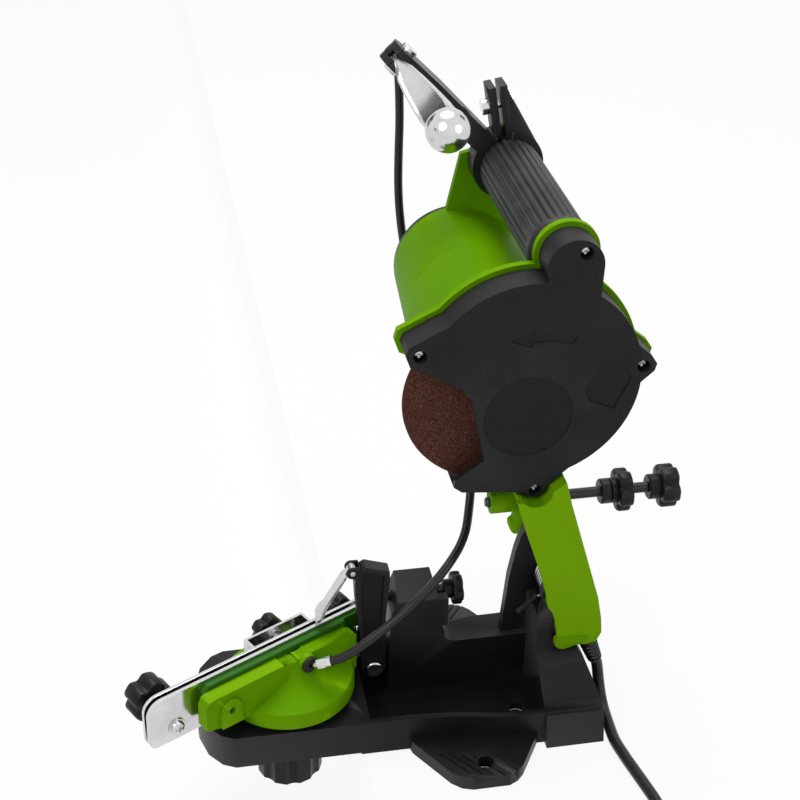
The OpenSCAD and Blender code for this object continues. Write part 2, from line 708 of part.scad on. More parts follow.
// Round and lobed outline shared by the guard and the flange, grown by g
module head_side(g = 0) {
  difference() {
    translate([hub_x, hub_z]) circle(r = guard_r + g);
    polygon([
      [-70, 130], [-70, 232 - g], [-37 - g, 232 - g], [-10 + g, 216 - g * 0.5], [-5 + g, 209], [4 + g, 168], [1, 140]
    ]);
  }
  polygon([
    [-37 - g, 231], [-39.5 - g, 238], [-38 - g, 242 + g * 0.7], [-25, 249 + g], [-9, 256.5 + g],
    [10, 264 + g], [26, 268 + g], [50, 262], [30, 220], [-9, 216]
  ]);
  polygon([
    [5, 174], [-8, 164], [-12 - g, 161], [-12.5 - g, 157], [-8, 153.5 - g], [20, 150.5 - g], [30, 148.5 - g], [50, 160],
    [40, 180]
  ]);
  translate([31, 152.5]) circle(r = 6 + g);
  translate([lobe_x, lobe_z]) circle(r = 14.5 + g);
  polygon([
    [24, 262 + g], [31 - g, 271 + g * 0.3], [lobe_x - 14.5 - g, lobe_z], [lobe_x + 14.5 + g, lobe_z],
    [58 + g, 262], [58, 240]
  ]);
  polygon([[76, 238], [88 + g, 226.5], [91 + g, 222], [90 + g, 218], [76, 205]]);
}

// Wheel cover: front plate and side wall, open at the lower left
module guard() {
  color("#232325") difference() {
    union() {
      difference() {
        slab(guard_y, plate_y) head_side();
        // Room for the wheel
        intersection() {
          slab(guard_y + guard_t, far) union() {
            translate([spindle_x, spindle_z]) circle(r = wheel_r + 1.2);
            translate([hub_x, hub_z]) circle(r = guard_r - guard_t - 1.5);
            polygon([[-60, 233], [-30, 228.5], [-22, 240], [10, 258], [20, 215], [0, 160], [-60, 160]]);
          }
          slab(guard_y + guard_t, far) difference() {
            square([300, 600], center = true);
            for (s = SCREWS) translate([s[0], s[1]]) circle(r = 4.5);
          }
        }
      }
      for (s = SCREWS) rod_y(s[0], s[1], guard_y + 0.5, plate_y, 4.5);
    }
    for (s = SCREWS) {
      rod_y(s[0], s[1], guard_y - 1, guard_y + 6, 3.5);
      rod_y(s[0], s[1], -far, far, 1.9);
    }
    // Shallow round recess, badge field and turning arrow
    slab(guard_y - 1, guard_y + 0.7) translate([25, 196.5]) circle(r = 23.5);
    slab(guard_y - 1, guard_y + 0.7) difference() {
      translate([66, 212]) rotate(-24) square([20, 24], center = true);
      translate([66, 212]) rotate(-24) for (s = [-1, 1]) translate([s * 10, s * 12]) rotate(45) square(7, center = true);
    }
    slab(guard_y - 1, guard_y + 0.5) polygon([
      [13, 241.5], [26, 246.5], [25.6, 243.6], [37, 243.8], [47.5, 241.5], [45.8, 237], [36, 239.4], [25.4, 239.6], [25, 236.6]
    ]);
  }
}

// The lobe's screw stops short of the handle's tube
function screw_end(i) = i == 0 ? body_y - gap : body_y + 5;

module guard_screws() {
  color("silver") for (i = [0:3]) let (s = SCREWS[i]) difference() {
    union() {
      rod_y(s[0], s[1], guard_y + 3.2, guard_y + 6, 3.2);
      rod_y(s[0], s[1], guard_y + 5, screw_end(i), 1.7);
    }
    translate([s[0], guard_y + 3, s[1]]) cube([3.4, 2.4, 0.9], center = true);
    translate([s[0], guard_y + 3, s[1]]) cube([0.9, 2.4, 3.4], center = true);
  }
}

// Room that the chain stop needs when the head is down
module stop_room() {
  slab(flange_y - 1, barrel_y0) polygon([
    [-70, 120], [26, 120], [26, spindle_z - 17], [10, spindle_z - 13.6], [-4, spindle_z - 10], [-70, spindle_z - 4]
  ]);
}

// Tapered barrel, grown inwards by d
module barrel(d = 0) {
  translate([barrel_x, barrel_y, barrel_z]) rotate([90, 0, 0])
    cylinder(r1 = barrel_r2 - d, r2 = barrel_r1 - d, h = barrel_y - body_y, $fn = 96);
}

module motor_housing() {
  color("#6aa412") difference() {
    union() {
      slab(flange_y, body_y) head_side(2.5);
      barrel();
      for (i = [1:3]) rod_y(SCREWS[i][0], SCREWS[i][1], body_y - 1, body_y + 7, 5);
      // Plate at the far end that carries the handle
      slab(barrel_y - 4, barrel_y) {
        polygon([[9, 236], [18.5, 281], [grip_x - 16.5, grip_z + 4], [grip_x + 16.5, grip_z + 4], [62, 262], [50, 216]]);
        translate([grip_x, grip_z]) circle(r = 17);
      }
      // Web from the barrel up to the lobe
      slab(body_y, body_y + 9) polygon([[28, 245], [33, 261.5], [55, 261.5], [60, 238]]);
      // Clip that holds the clamp cable
      rod_y(9.6, 168.4, 96, 102, 5);
      slab(96, 102) polygon([[5, 169], [5, 180], [14.5, 180], [14.5, 169]]);
    }
    // Hollow inside, keeping two rings for the stator and a front bulkhead
    difference() {
      intersection() {
        barrel(barrel_t);
        translate([-far / 2, barrel_y0 + 8, 0]) cube([far, far, far]);
      }
      for (y = [stator_y, stator_y + stator_len - 6, comm_y + 2]) rod_y(spindle_x, spindle_z, y, y + 5, 60);
    }
    rod_y(spindle_x, spindle_z, stator_y - 1, far, stator_r);
    rod_y(spindle_x, spindle_z, -far, far, 6.6);
    rod_y(spindle_x, spindle_z, bearing_y - gap, far, bearing_r);
    rod_y(spindle_x, spindle_z, -far, body_y + 2, 14);
    stop_room();
    for (i = [0:3]) rod_y(SCREWS[i][0], SCREWS[i][1], 0, screw_end(i) + 0.2, 1.9);
    rod_y(9.6, 168.4, 90, 110, cable_r + 0.5);
  }
}

// End cover with its cooling slots, rear bearing seat and switch opening
module rear_cover() {
  color("#2a2a2c") difference() {
    union() {
      translate([barrel_x, barrel_y + gap, barrel_z]) rotate([-90, 0, 0]) rotate_extrude($fn = 96) polygon([
        [0, 0], [barrel_r2 - 0.4, 0], [barrel_r2 - 0.4, 3], [barrel_r2 - 2, 6], [barrel_r2 - 5, 7.5], [0, 8.5]
      ]);
      rod_y(spindle_x, spindle_z, rear_bearing_y - 1, barrel_y + 2, bearing_r + 3);
    }
    rod_y(spindle_x, spindle_z, -far, rear_bearing_y + bearing_w, bearing_r);
    rod_y(spindle_x, spindle_z, -far, barrel_y + 2, 5);
    for (i = [0:4]) translate([barrel_x - 23.2 + i * 6, barrel_y - 1, barrel_z + 7]) cube([2.4, 20, 8 + i * 3]);
    translate([switch_x - 7, barrel_y - 1, switch_z - 10.5]) cube([14, 20, 21]);
  }
}

module power_switch() {
  color("#b01818") union() {
    translate([switch_x - 6, barrel_y + 3, switch_z - 9.6]) rotate([90, 0, 90]) linear_extrude(12)
      polygon([[0, 3], [5.4, 0], [8.6, 0.6], [6.6, 9.6], [8.6, 18.6], [5.4, 19.2], [0, 16.2]]);
    rod_x(barrel_y + 5.6, switch_z, switch_x - 6.9, switch_x + 6.9, 1.4);
  }
}

// Swinging arm: two cheeks, a back web and the block that carries the depth screw
module arm() {
  color("#6aa412") difference() {
    union() {
      for (y = [-arm_half, arm_half - arm_t]) slab(y, y + arm_t) arm_side();
      slab(-arm_half, arm_half) difference() {
        polygon([[56, 124], [50.5, 143], [46, 160], [40, 160], [46, 140], [52, 124]]);
      }
      slab(-arm_half + 1, arm_half) polygon([[24, 140], [21, 152], [20, 158], [46, 158], [50, 143], [46, 133], [28, 127]]);
      // Block behind the guard that joins the arm to the housing
      slab(body_y, arm_half) polygon([[18, 150], [16, 168], [30, 172], [52, 172], [50, 145]]);
      // Boss of the depth screw, with a rounded stop pad below it
      rod_x(depth_y, depth_z, depth_x0 + 2.5, 32, 6.5);
      // Lower end with the seat of the strain relief
      slab(-arm_half, arm_half) polygon([[63, 56], [63.6, 66], [72, 66], [74, 54], [71, 47.5], [65.5, 48.5]]);
      translate(relief_at) rotate([0, relief_tilt, 0]) translate([0, 0, -7]) cylinder(r = 7, h = 8.5);
      for (s = [-1, 1]) rod_y(pivot_x, pivot_z, s > 0 ? arm_half - arm_t : -arm_half, s > 0 ? arm_half : arm_t - arm_half, 11);
    }
    // The guard and the housing's flange stand in front of the arm, the barrel above it
    slab(-far, body_y) head_side(2.5 + gap);
    barrel(-0.1);
    // The pedestal of the base stands between the cheeks
    translate([30, -fork_out - 1.2, 30]) cube([tail_x - 8.3 - 30, 2 * fork_out + 2.4, pivot_z - 44]);
    rod_y(SCREWS[2][0], SCREWS[2][1], -far, body_y + 7 + gap, 5 + gap);
    translate(relief_at) rotate([0, relief_tilt, 0]) translate([0, 0, 1.55]) cylinder(r = 6 + gap, h = 40);
    rod_y(pivot_x, pivot_z, -arm_half + 1, far, pivot_r + run);
    rod_x(depth_y, depth_z, -10, 80, 3 + run);
    translate(relief_at) rotate([0, relief_tilt, 0]) translate([0, 0, -12]) cylinder(r = 4.2, h = 30);
    // Room for the fork and the pedestal as the arm swings
    rod_y(pivot_x, pivot_z, -arm_half + arm_t, arm_half - arm_t, 15);
  }
}

// Side view of an arm cheek
module arm_side() {
  polygon([
    [49, 52], [46.5, 66], [41.5, 80], [36, 100], [30, 118], [26, 130], [20, 150], [20, 158], [46, 160],
    [50.5, 142], [56, 124], [63, 102], [70, 79], [73, 64], [74, 54], [71, 48], [66, 46.5], [52, 49]
  ]);
}

module strain_relief() {
  color("#1b1b1b") translate(relief_at) rotate([0, relief_tilt, 0]) difference() {
    union() {
      translate([0, 0, -6]) cylinder(r = 4.1, h = 8);
      translate([0, 0, 1.6]) cylinder(r = 6, h = 2.4);
      translate([0, 0, 3]) cylinder(r1 = 5.4, r2 = 4.1, h = relief_len - 3);
    }
    for (i = [0:3]) translate([0, 0, 7 + i * 4]) ring(9, 4.1 - i * 0.1 + 0.2, 1.6);
  }
}

// Handle
module handle_tube() {
  color("silver") difference() {
    rod_y(grip_x, grip_z, body_y, barrel_y - 4, tube_r);
    rod_y(grip_x, grip_z, 0, far, tube_r - tube_t);
  }
}

module grip() {
  color("#222222") slab(body_y + gap, body_y + grip_len) translate([grip_x, grip_z]) difference() {
    circle(r = grip_r);
    circle(r = tube_r);
    for (i = [0:grip_ribs - 1]) rotate(i * 360 / grip_ribs) translate([grip_r + 0.35, 0]) circle(r = 1.2, $fn = 16);
  }
}

// Frame of the lever: x outwards from the handle, z across it
module on_lever(turn = lever_turn) {
  translate([grip_x, 0, grip_z]) rotate([0, -turn, 0]) children();
}

// Split clamp ring with its ears and the arm that holds the lever
module lever_perch() {
  color("#1c1c1e") difference() {
    union() {
      rod_y(grip_x, grip_z, ring_y, ring_y + ring_w, tube_r + 9);
      on_lever(ear_turn) for (s = [-1, 1]) translate([12, ring_y, s > 0 ? 1.2 : -5.2])
        cube([34, ring_w, 4]);
      on_lever() translate([0, 0, -6]) linear_extrude(12) {
        polygon([
          [12, ring_y], [12, ring_y + ring_w], [22, ring_y + ring_w], [52, lever_y + 8], [lever_reach - 4, lever_y + 9.6],
          [lever_reach + 9, lever_y + 2], [lever_reach + 6, lever_y - 8], [54, lever_y - 11], [30, ring_y]
        ]);
        translate([lever_reach, lever_y]) circle(r = 9.5);
      }
    }
    rod_y(grip_x, grip_z, 0, far, tube_r + 0.02);
    on_lever(ear_turn) translate([8, ring_y - 1, -1.2]) cube([50, ring_w + 2, 2.4]);
    on_lever(ear_turn) translate([34, ring_y + ring_w / 2, -20]) cylinder(r = 2.5 + run, h = 40);
    // Slot that the lever turns in
    on_lever() translate([0, 0, -lever_t / 2 - gap]) linear_extrude(lever_t + 2 * gap) {
      translate([lever_reach, lever_y]) circle(r = 12.5);
      polygon([
        [lever_reach - 12.5, lever_y + 1], [lever_reach - 34, lever_y - 30], [lever_reach + 20, lever_y - 30],
        [lever_reach + 20, lever_y + 1]
      ]);
    }
    on_lever() translate([lever_reach, lever_y, -20]) cylinder(r = 2.5 + run, h = 40);
    rod_y(cable_x, cable_top_z, lever_y, far, 3);
  }
}

module perch_bolt() {
  color("silver") on_lever(ear_turn) translate([34, ring_y + ring_w / 2, 0]) {
    translate([0, 0, -8]) cylinder(r = 2.5, h = 16);
    translate([0, 0, 5.2]) cylinder(r = 4.5, h = 4);
    translate([0, 0, -8.6]) cylinder(r = 4.6, h = 3.4, $fn = 6);
  }
}

// Pressed lever blade that widens to its ball end
module brake_lever() {
  color("gainsboro") on_lever() difference() {
    union() {
      translate([lever_reach, lever_y, -lever_t / 2]) cylinder(r = 8, h = lever_t);
      intersection() {
        translate([0, 0, -12]) linear_extrude(24) polygon([
          [lever_reach - 8, lever_y], [lever_reach + 7, lever_y + 3], [lever_reach + 8.5, lever_y - 8],
          [lever_reach + 4, lever_y - 30], [ball_x + 5, lever_y - lever_len + 8], [ball_x - 4, lever_y - lever_len + 8],
          [lever_reach - 5, lever_y - 30], [lever_reach - 9, lever_y - 10]
        ]);
        translate([0, lever_y, 0]) rotate([0, 90, 0]) linear_extrude(far) polygon([
          [-lever_t / 2, 6], [lever_t / 2, 6], [lever_t / 2, -13], [6, -30], [8.6, -lever_len + 14],
          [8.6, -lever_len + 6], [-8.6, -lever_len + 6], [-8.6, -lever_len + 14], [-6, -30], [-lever_t / 2, -13]
        ]);
      }
      translate([ball_x, lever_y - lever_len, 0]) sphere(r = ball_r);
    }
    translate([lever_reach, lever_y, -20]) cylinder(r = 2.5 + run, h = 40);
    // Channel along the outer face
    translate([0, 0, -1.6]) linear_extrude(3.2) polygon([
      [lever_reach + 1, lever_y - 14], [lever_reach + 12, lever_y - 14], [ball_x + 12, lever_y - lever_len + 20],
      [ball_x + 2, lever_y - lever_len + 20]
    ]);
  }
}

module lever_pivot() {
  color("silver") on_lever() translate([lever_reach, lever_y, 0]) {
    translate([0, 0, -8.6]) cylinder(r = 4.8, h = 2.6);
    translate([0, 0, -7]) cylinder(r = 2.5, h = 14.5);
    translate([0, 0, 6]) cylinder(r = 4.2, h = 2.4, $fn = 6);
  }
}

// Hollow screw that the clamp cable leaves the perch through
module cable_adjuster() {
  color("silver") union() {
    rod_y(cable_x, cable_top_z, lever_y + 8.6, lever_y + 21, 2.95);
    rod_y(cable_x, cable_top_z, lever_y + 10, lever_y + 15, 4.4);
  }
}

module clamp_cable_upper() {
  color("#161616") tube(CABLE_TOP, cable_r, 8);
}

module clamp_cable_lower() {
  color("#161616") tube(CABLE_LOW, cable_r, 8);
}

module depth_screw() {
  color("#303030") rod_x(depth_y, depth_z, depth_x0, depth_x1, 3);
}

module depth_lock_knob() {
  color("#1a1a1a") translate([lock_x, depth_y, depth_z]) rotate([0, 90, 0]) lobed_knob(12, 17, 7, 9, 3 + run, 5, -1);
}

module depth_knob() {
  color("#1a1a1a") translate([knob_x, depth_y, depth_z]) rotate([0, 90, 0]) lobed_knob(12, 16, 7, 6, 3 + run);
}

// Motor
module stator() {
  color("#8a4b2a") rod_ring(stator_y, stator_y + stator_len, stator_r - 0.02, armature_r + 1);
}

// Round tube about the spindle
module rod_ring(y0, y1, r, bore) {
  difference() {
    rod_y(spindle_x, spindle_z, y0, y1, r);
    rod_y(spindle_x, spindle_z, y0 - 1, y1 + 1, bore);
  }
}

module brush_holders() {
  color("#7a6a50") union() {
    rod_ring(comm_y + 2, comm_y + 8, stator_r - 0.02, stator_r - 4);
    for (s = [0, 180]) translate([spindle_x, comm_y + 2, spindle_z]) rotate([0, s, 0])
      translate([comm_r + 0.4, 0, -3]) cube([stator_r - comm_r - 2, 6, 6]);
  }
}

module spindle() {
  color("silver") union() {
    rod_y(spindle_x, spindle_z, shaft_y0, rear_bearing_y + bearing_w, spindle_r);
    rod_y(spindle_x, spindle_z, wheel_t / 2 + 3, wheel_t / 2 + 7, spindle_r + 2.4);
  }
}

module armature() {
  color("#9a9a9a") rod_ring(stator_y + 3, stator_y + stator_len - 3, armature_r, spindle_r);
}

module commutator() {
  color("#b87333") rod_ring(comm_y, comm_y + 10, comm_r, spindle_r);
}

module cooling_fan() {
  color("#3a3a3c") translate([spindle_x, 112, spindle_z]) rotate([-90, 0, 0]) difference() {
    union() {
      cylinder(r = 21, h = 2);
      cylinder(r = 8, h = 8);
      for (i = [0:8]) rotate([0, 0, i * 40]) translate([7, -0.8, 0]) cube([13.6, 1.6, 8]);
    }
    translate([0, 0, -1]) cylinder(r = spindle_r, h = 20);
  }
}

module bearings() {
  color("silver") {
    rod_ring(bearing_y, bearing_y + bearing_w, bearing_r - 0.02, spindle_r + run);
    rod_ring(rear_bearing_y, rear_bearing_y + bearing_w, bearing_r - 0.02, spindle_r + run);
  }
}

module grinding_wheel() {
  color("#a4614c") rod_ring(-wheel_t / 2, wheel_t / 2, wheel_r, wheel_bore_r);
}

module wheel_flanges() {
  color("silver") {
    rod_ring(wheel_t / 2, wheel_t / 2 + 3, 13, spindle_r);
    rod_ring(-wheel_t / 2 - 3, -wheel_t / 2, 13, spindle_r);
    rod_ring(-wheel_t / 2, wheel_t / 2, wheel_bore_r, spindle_r);
  }
}

module spindle_nut() {
  color("silver") translate([spindle_x, -wheel_t / 2 - 3, spindle_z]) rotate([90, 0, 0]) difference() {
    cylinder(r = 7, h = 4.5, $fn = 6);
    translate([0, 0, -1]) cylinder(r = spindle_r, h = 9);
  }
}

// Mains lead
module power_cord() {
  color("#151515") tube(CORD, cord_r, 8);
}

// Two layers of turns: in along the bench, up where the spiral turns back, and out again
function coil_path() = let (
  step = 2 * cord_r + 0.7, turns = coil_turns / 2, outer = coil_mid + step * turns / 2, rise = step,
  loops = [for (i = [0:24 * coil_turns]) let (
    t = i / 24, climb = min(1, max(0, (t - turns) * 2 + 0.5)), a = 180 + 360 * t,
    r = outer - step * min(t, turns) + step * max(0, t - turns))
    [coil_c[0] + r * cos(a), coil_c[1] + r * sin(a), CORD_Z + climb * rise]],
  first = loops[0], last = loops[len(loops) - 1]
) concat([[first.x, first.y + 7, first.z]], loops, [[last.x, last.y - tail_run / 2, last.z], [last.x, last.y - tail_run, last.z]]);

module cord_coil() {
  say_gap("cord_coil", turn_gap(coil_path(), cord_r, 12));
  color("#151515") tube(coil_path(), cord_r, 6);
}

// Two-pin mains plug on its side
module mains_plug() {
  path = coil_path();
  end = path[len(path) - 1];
  translate(end) rotate([0, 0, -90]) {
    color("#1a1a1a") difference() {
      union() {
        rotate([0, 90, 0]) cylinder(r1 = cord_r + 0.6, r2 = 5.4, h = 16);
        translate([14, -16, -plug_half]) cube([30, 32, 2 * plug_half]);
      }
      for (s = [-1, 1]) translate([22, s * 22, -20]) cylinder(r = 9, h = 40);
    }
    color("silver") for (s = [-1, 1]) translate([43, s * 9.5, 0]) rotate([0, 90, 0]) cylinder(r = 2.4, h = 19);
  }
}

base_frame();
hinge_pin();
return_spring();
stop_pivot_bolt();
stop_carrier();
stop_pawl();
pawl_pin();
stop_screw();
stop_knob();
vise_body();
near_rail();
far_rail();
jaw_strip();
clamp_bracket();
clamp_spring();
clamp_knob();
end_knob();
tail_knob();
rail_bolts();
cable_grommet();
cable_ferrule();
turntable_bolt();
lock_knob();
motor_housing();
rear_cover();
arm();
guard();
guard_screws();
handle_tube();
grip();
lever_perch();
perch_bolt();
brake_lever();
lever_pivot();
cable_adjuster();
clamp_cable_upper();
clamp_cable_lower();
depth_screw();
depth_lock_knob();
depth_knob();
power_switch();
stator();
brush_holders();
spindle();
armature();
commutator();
cooling_fan();
bearings();
grinding_wheel();
wheel_flanges();
spindle_nut();
strain_relief();
power_cord();
cord_coil();
mains_plug();
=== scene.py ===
# Looks of an electric chainsaw sharpener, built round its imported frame.
# Sizes are in millimetres in the classes, and metres in the finished meshes.

import json
import logging
import math
from dataclasses import dataclass, field
from enum import Enum
from typing import Optional, Sequence, Union

import bmesh
import bpy
from mathutils import Matrix, Vector

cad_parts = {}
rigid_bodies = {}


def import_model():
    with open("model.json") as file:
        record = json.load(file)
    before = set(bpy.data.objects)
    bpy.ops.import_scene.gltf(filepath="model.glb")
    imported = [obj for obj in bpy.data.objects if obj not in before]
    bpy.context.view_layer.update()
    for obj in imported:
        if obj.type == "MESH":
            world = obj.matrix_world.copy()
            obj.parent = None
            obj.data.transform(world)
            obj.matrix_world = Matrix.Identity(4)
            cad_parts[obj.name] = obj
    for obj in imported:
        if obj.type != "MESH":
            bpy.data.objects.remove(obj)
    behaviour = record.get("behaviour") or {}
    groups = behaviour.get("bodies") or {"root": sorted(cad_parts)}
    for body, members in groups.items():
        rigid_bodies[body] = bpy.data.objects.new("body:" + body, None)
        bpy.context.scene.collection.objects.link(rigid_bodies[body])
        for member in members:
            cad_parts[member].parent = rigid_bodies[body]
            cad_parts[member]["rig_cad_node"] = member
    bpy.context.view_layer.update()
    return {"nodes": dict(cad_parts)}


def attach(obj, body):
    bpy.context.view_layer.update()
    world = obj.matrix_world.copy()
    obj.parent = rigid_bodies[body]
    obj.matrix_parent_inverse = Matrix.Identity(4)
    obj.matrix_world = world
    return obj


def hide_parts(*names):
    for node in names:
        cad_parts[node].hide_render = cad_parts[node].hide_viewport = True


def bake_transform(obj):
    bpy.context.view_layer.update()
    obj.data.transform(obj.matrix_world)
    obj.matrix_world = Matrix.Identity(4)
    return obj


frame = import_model()
LOG = logging.getLogger("sharpener")

# A millimetre in metres, a lathe's least radius, a full turn, and creases in degrees
MM = 0.001
LEAST = 0.02
TURN = 2 * math.pi
WHITE = (1.0, 1.0, 1.0, 1.0)
CREASE, LEVER_CREASE, LUG_CREASE, COIL_CREASE = 34.0, 42.0, 50.0, 60.0
Point = tuple[float, float, float]
Pairs = Sequence[tuple[float, float]]
Face = tuple[int, ...]
Ring = list[Vector]


class Slot(Enum):
    """The record's material slots."""

    BASE = "base_black"
    GREEN = "green_paint"
    DEEP_GREEN = "green_dark"
    GUARD = "guard_grey"
    KNOB = "knob_black"
    CHROME = "chrome"
    STEEL = "steel"
    BLACK_STEEL = "black_steel"
    GRIP = "grip_rubber"
    LEAD = "cord_black"
    WHEEL = "wheel_red"
    COPPER = "copper"
    CORE = "core_iron"
    SWITCH = "switch_red"


class Body(Enum):
    """The moving bodies that the pieces ride on."""

    BASE = "base"
    STOP = "stop"
    PAWL = "pawl"
    STOP_ROD = "stop_rod"
    STOP_HANDLE = "stop_handle"
    VISE = "vise"
    MOVING_RAIL = "moving_rail"
    CLAMP_HANDLE = "clamp_handle"
    END_HANDLE = "end_handle"
    TAIL_HANDLE = "tail_handle"
    TABLE_LOCK = "table_lock"
    HEAD = "head"
    LEVER = "lever"
    DEPTH_ROD = "depth_rod"
    DEPTH_HANDLE = "depth_handle"
    DEPTH_LOCK = "depth_lock"
    SWITCH = "switch"
    ROTOR = "rotor"


# ---------------------------------------------------------------- shaders


class Val:
    """A node's output, with arithmetic that adds Math nodes."""

    def __init__(self, shader: "Shader", socket: bpy.types.NodeSocket) -> None:
        """Keeps the socket and the shader it belongs to."""
        self.shader = shader
        self.socket = socket

    def _math(self, operation: str, first: "Number", second: "Number") -> "Val":
        """Adds one Math node.

        Args:
            operation: the Math node's operation.
            first: its first value.
            second: its second value.

        Returns:
            The node's output.
        """
        return self.shader.add("ShaderNodeMath", {"operation": operation}, {0: first, 1: second})

    def __add__(self, other: "Number") -> "Val":
        """self + other"""
        return self._math("ADD", self, other)

    def __radd__(self, other: "Number") -> "Val":
        """other + self"""
        return self._math("ADD", other, self)

    def __sub__(self, other: "Number") -> "Val":
        """self - other"""
        return self._math("SUBTRACT", self, other)

    def __mul__(self, other: "Number") -> "Val":
        """self * other"""
        return self._math("MULTIPLY", self, other)

    def __rmul__(self, other: "Number") -> "Val":
        """other * self"""
        return self._math("MULTIPLY", other, self)


Number = Union[Val, float, int]
Input = Union[Val, float, int, tuple]
Colour = tuple[float, float, float]


class Shader:
    """The node tree of a material, or of the world."""

    def __init__(self, name: str, world: bool = False) -> None:
        """Starts an empty tree.

        Args:
            name: its owner's name.
            world: whether it is the world's.
        """
        self.owner = (bpy.data.worlds if world else bpy.data.materials).new(name)
        self.owner.use_nodes = True
        self.tree = self.owner.node_tree
        self.tree.nodes.clear()

    def add(
        self,
        kind: str,
        settings: Optional[dict] = None,
        inputs: Optional[dict[Union[int, str], Input]] = None,
        out: Union[int, str] = 0,
    ) -> Val:
        """Adds a node.

        Args:
            kind: the node's type.
            settings: its properties, set first; "stops" are a ramp's.
            inputs: values or links of its sockets, by name or number.
            out: which of its outputs is wanted.

        Returns:
            That output.
        """
        node = self.tree.nodes.new(kind)
        for key, value in (settings or {}).items():
            if key == "stops":
                self._set_stops(node.color_ramp, value)
            else:
                setattr(node, key, value)
        for key, value in (inputs or {}).items():
            if isinstance(value, Val):
                self.tree.links.new(value.socket, node.inputs[key])
            else:
                node.inputs[key].default_value = value
        return Val(self, node.outputs[out]) if node.outputs else Val(self, node.inputs[0])

    def _set_stops(self, ramp: bpy.types.ColorRamp, stops: Sequence[tuple[float, float]]) -> None:
        """Gives a ramp its stops.

        Args:
            ramp: the ramp.
            stops: a place and a grey for each.
        """
        ramp.elements[0].position, ramp.elements[-1].position = stops[0][0], stops[-1][0]
        for place, _ in stops[1:-1]:
            ramp.elements.new(place)
        for element, (_, grey) in zip(ramp.elements, stops):
            element.color = (grey, grey, grey, 1)

    def place(self) -> Val:
        """Where a point of the surface is, in the piece's own metres."""
        return self.add("ShaderNodeTexCoord", out="Object")

    def stretched(self, scale: Point) -> Val:
        """The place with each axis scaled.

        Args:
            scale: factors of X, Y and Z.

        Returns:
            The scaled vector.
        """
        return self.add("ShaderNodeVectorMath", {"operation": "MULTIPLY"}, {0: self.place(), 1: scale})

    def noise(self, scale: float, detail: float = 3.0, where: Optional[Val] = None) -> Val:
        """Cloudy noise from 0 to 1.

        Args:
            scale: features to a metre.
            detail: how many finer layers it has.
            where: the vector that it is read at.

        Returns:
            The noise.
        """
        return self.add(
            "ShaderNodeTexNoise", None,
            {"Vector": where or self.place(), "Scale": scale, "Detail": detail, "Roughness": 0.55},
        )

    def ramp(self, value: Val, *stops: tuple[float, float]) -> Val:
        """A value passed through a ramp of greys."""
        return self.add("ShaderNodeValToRGB", {"stops": stops}, {0: value})

    def mix(self, factor: Number, first: Input, second: Input) -> Val:
        """A blend of two colours.

        Args:
            factor: 0 gives the first, 1 the second.
            first: a colour or a link.
            second: a colour or a link.

        Returns:
            The blended colour.
        """
        a, b = (v if isinstance(v, Val) else (*v, 1.0) for v in (first, second))
        return self.add("ShaderNodeMix", {"data_type": "RGBA"}, {0: factor, 6: a, 7: b}, out=2)

    def edges(self) -> Val:
        """A mask of the convex outer edges, where wear and a painted highlight go."""
        pointiness = self.add("ShaderNodeNewGeometry", out="Pointiness")
        return self.ramp(pointiness, (0.52, 0.0), (0.6, 1.0))

    def bump(self, height: Number, distance: float, strength: float = 1.0) -> Val:
        """A normal that follows a height.

        Args:
            height: the height from 0 to 1.
            distance: how far 1 is, in metres.
            strength: how much of it shows.

        Returns:
            The normal.
        """
        inputs = {"Height": height, "Distance": distance, "Strength": strength}
        return self.add("ShaderNodeBump", None, inputs)

    def finish(self, **sockets: Input) -> bpy.types.Material:
        """Closes the tree with a Principled shader.

        Args:
            sockets: its inputs, each name with _ in place of a space.

        Returns:
            The finished material.
        """
        named = {k.replace("_", " "): v for k, v in sockets.items()}
        return self.close(self.add("ShaderNodeBsdfPrincipled", None, named))

    def close(self, surface: Val) -> Union[bpy.types.Material, bpy.types.World]:
        """Links a shader to the output.

        Args:
            surface: the shader.

        Returns:
            The tree's owner.
        """
        kind = "World" if isinstance(self.owner, bpy.types.World) else "Material"
        self.add(f"ShaderNodeOutput{kind}", None, {"Surface": surface})
        return self.owner


@dataclass(frozen=True)
class Moulded:
    """Satin moulded or cast surface with a fine grain, and lighter edges that are partly wear and
    partly a painted highlight.
    """

    colour: Colour
    shade: Colour
    edge: Colour
    rough: float = 0.42
    rough_swing: float = 0.1
    grain: float = 1400.0
    grain_height: float = 0.00005
    edge_wear_and_highlight: float = 0.4
    speckle: float = 0.0
    coat: float = 0.0
    shine: float = 0.24

    def dress(self, shader: Shader) -> bpy.types.Material:
        """Builds the surface's nodes.

        Args:
            shader: the empty tree.

        Returns:
            The material.
        """
        cloud = shader.noise(22.0, 4.0)
        grain = shader.noise(self.grain, 2.0)
        colour = shader.mix(shader.ramp(cloud, (0.32, 0.0), (0.68, 1.0)), self.shade, self.colour)
        # Lighter edges: partly wear, partly a painted highlight where light catches them
        colour = shader.mix(shader.edges() * self.edge_wear_and_highlight, colour, self.edge)
        if self.speckle:
            dots = shader.ramp(shader.noise(2600.0, 0.0), (0.66, 0.0), (0.74, 1.0))
            colour = shader.mix(dots * self.speckle, colour, (0.35, 0.35, 0.35))
        rough = self.rough + (cloud - 0.5) * self.rough_swing + (grain - 0.5) * self.rough_swing
        return shader.finish(
            Base_Color=colour, Roughness=rough, Normal=shader.bump(grain, self.grain_height),
            Coat_Weight=self.coat, Coat_Roughness=0.25, Specular_IOR_Level=self.shine,
        )


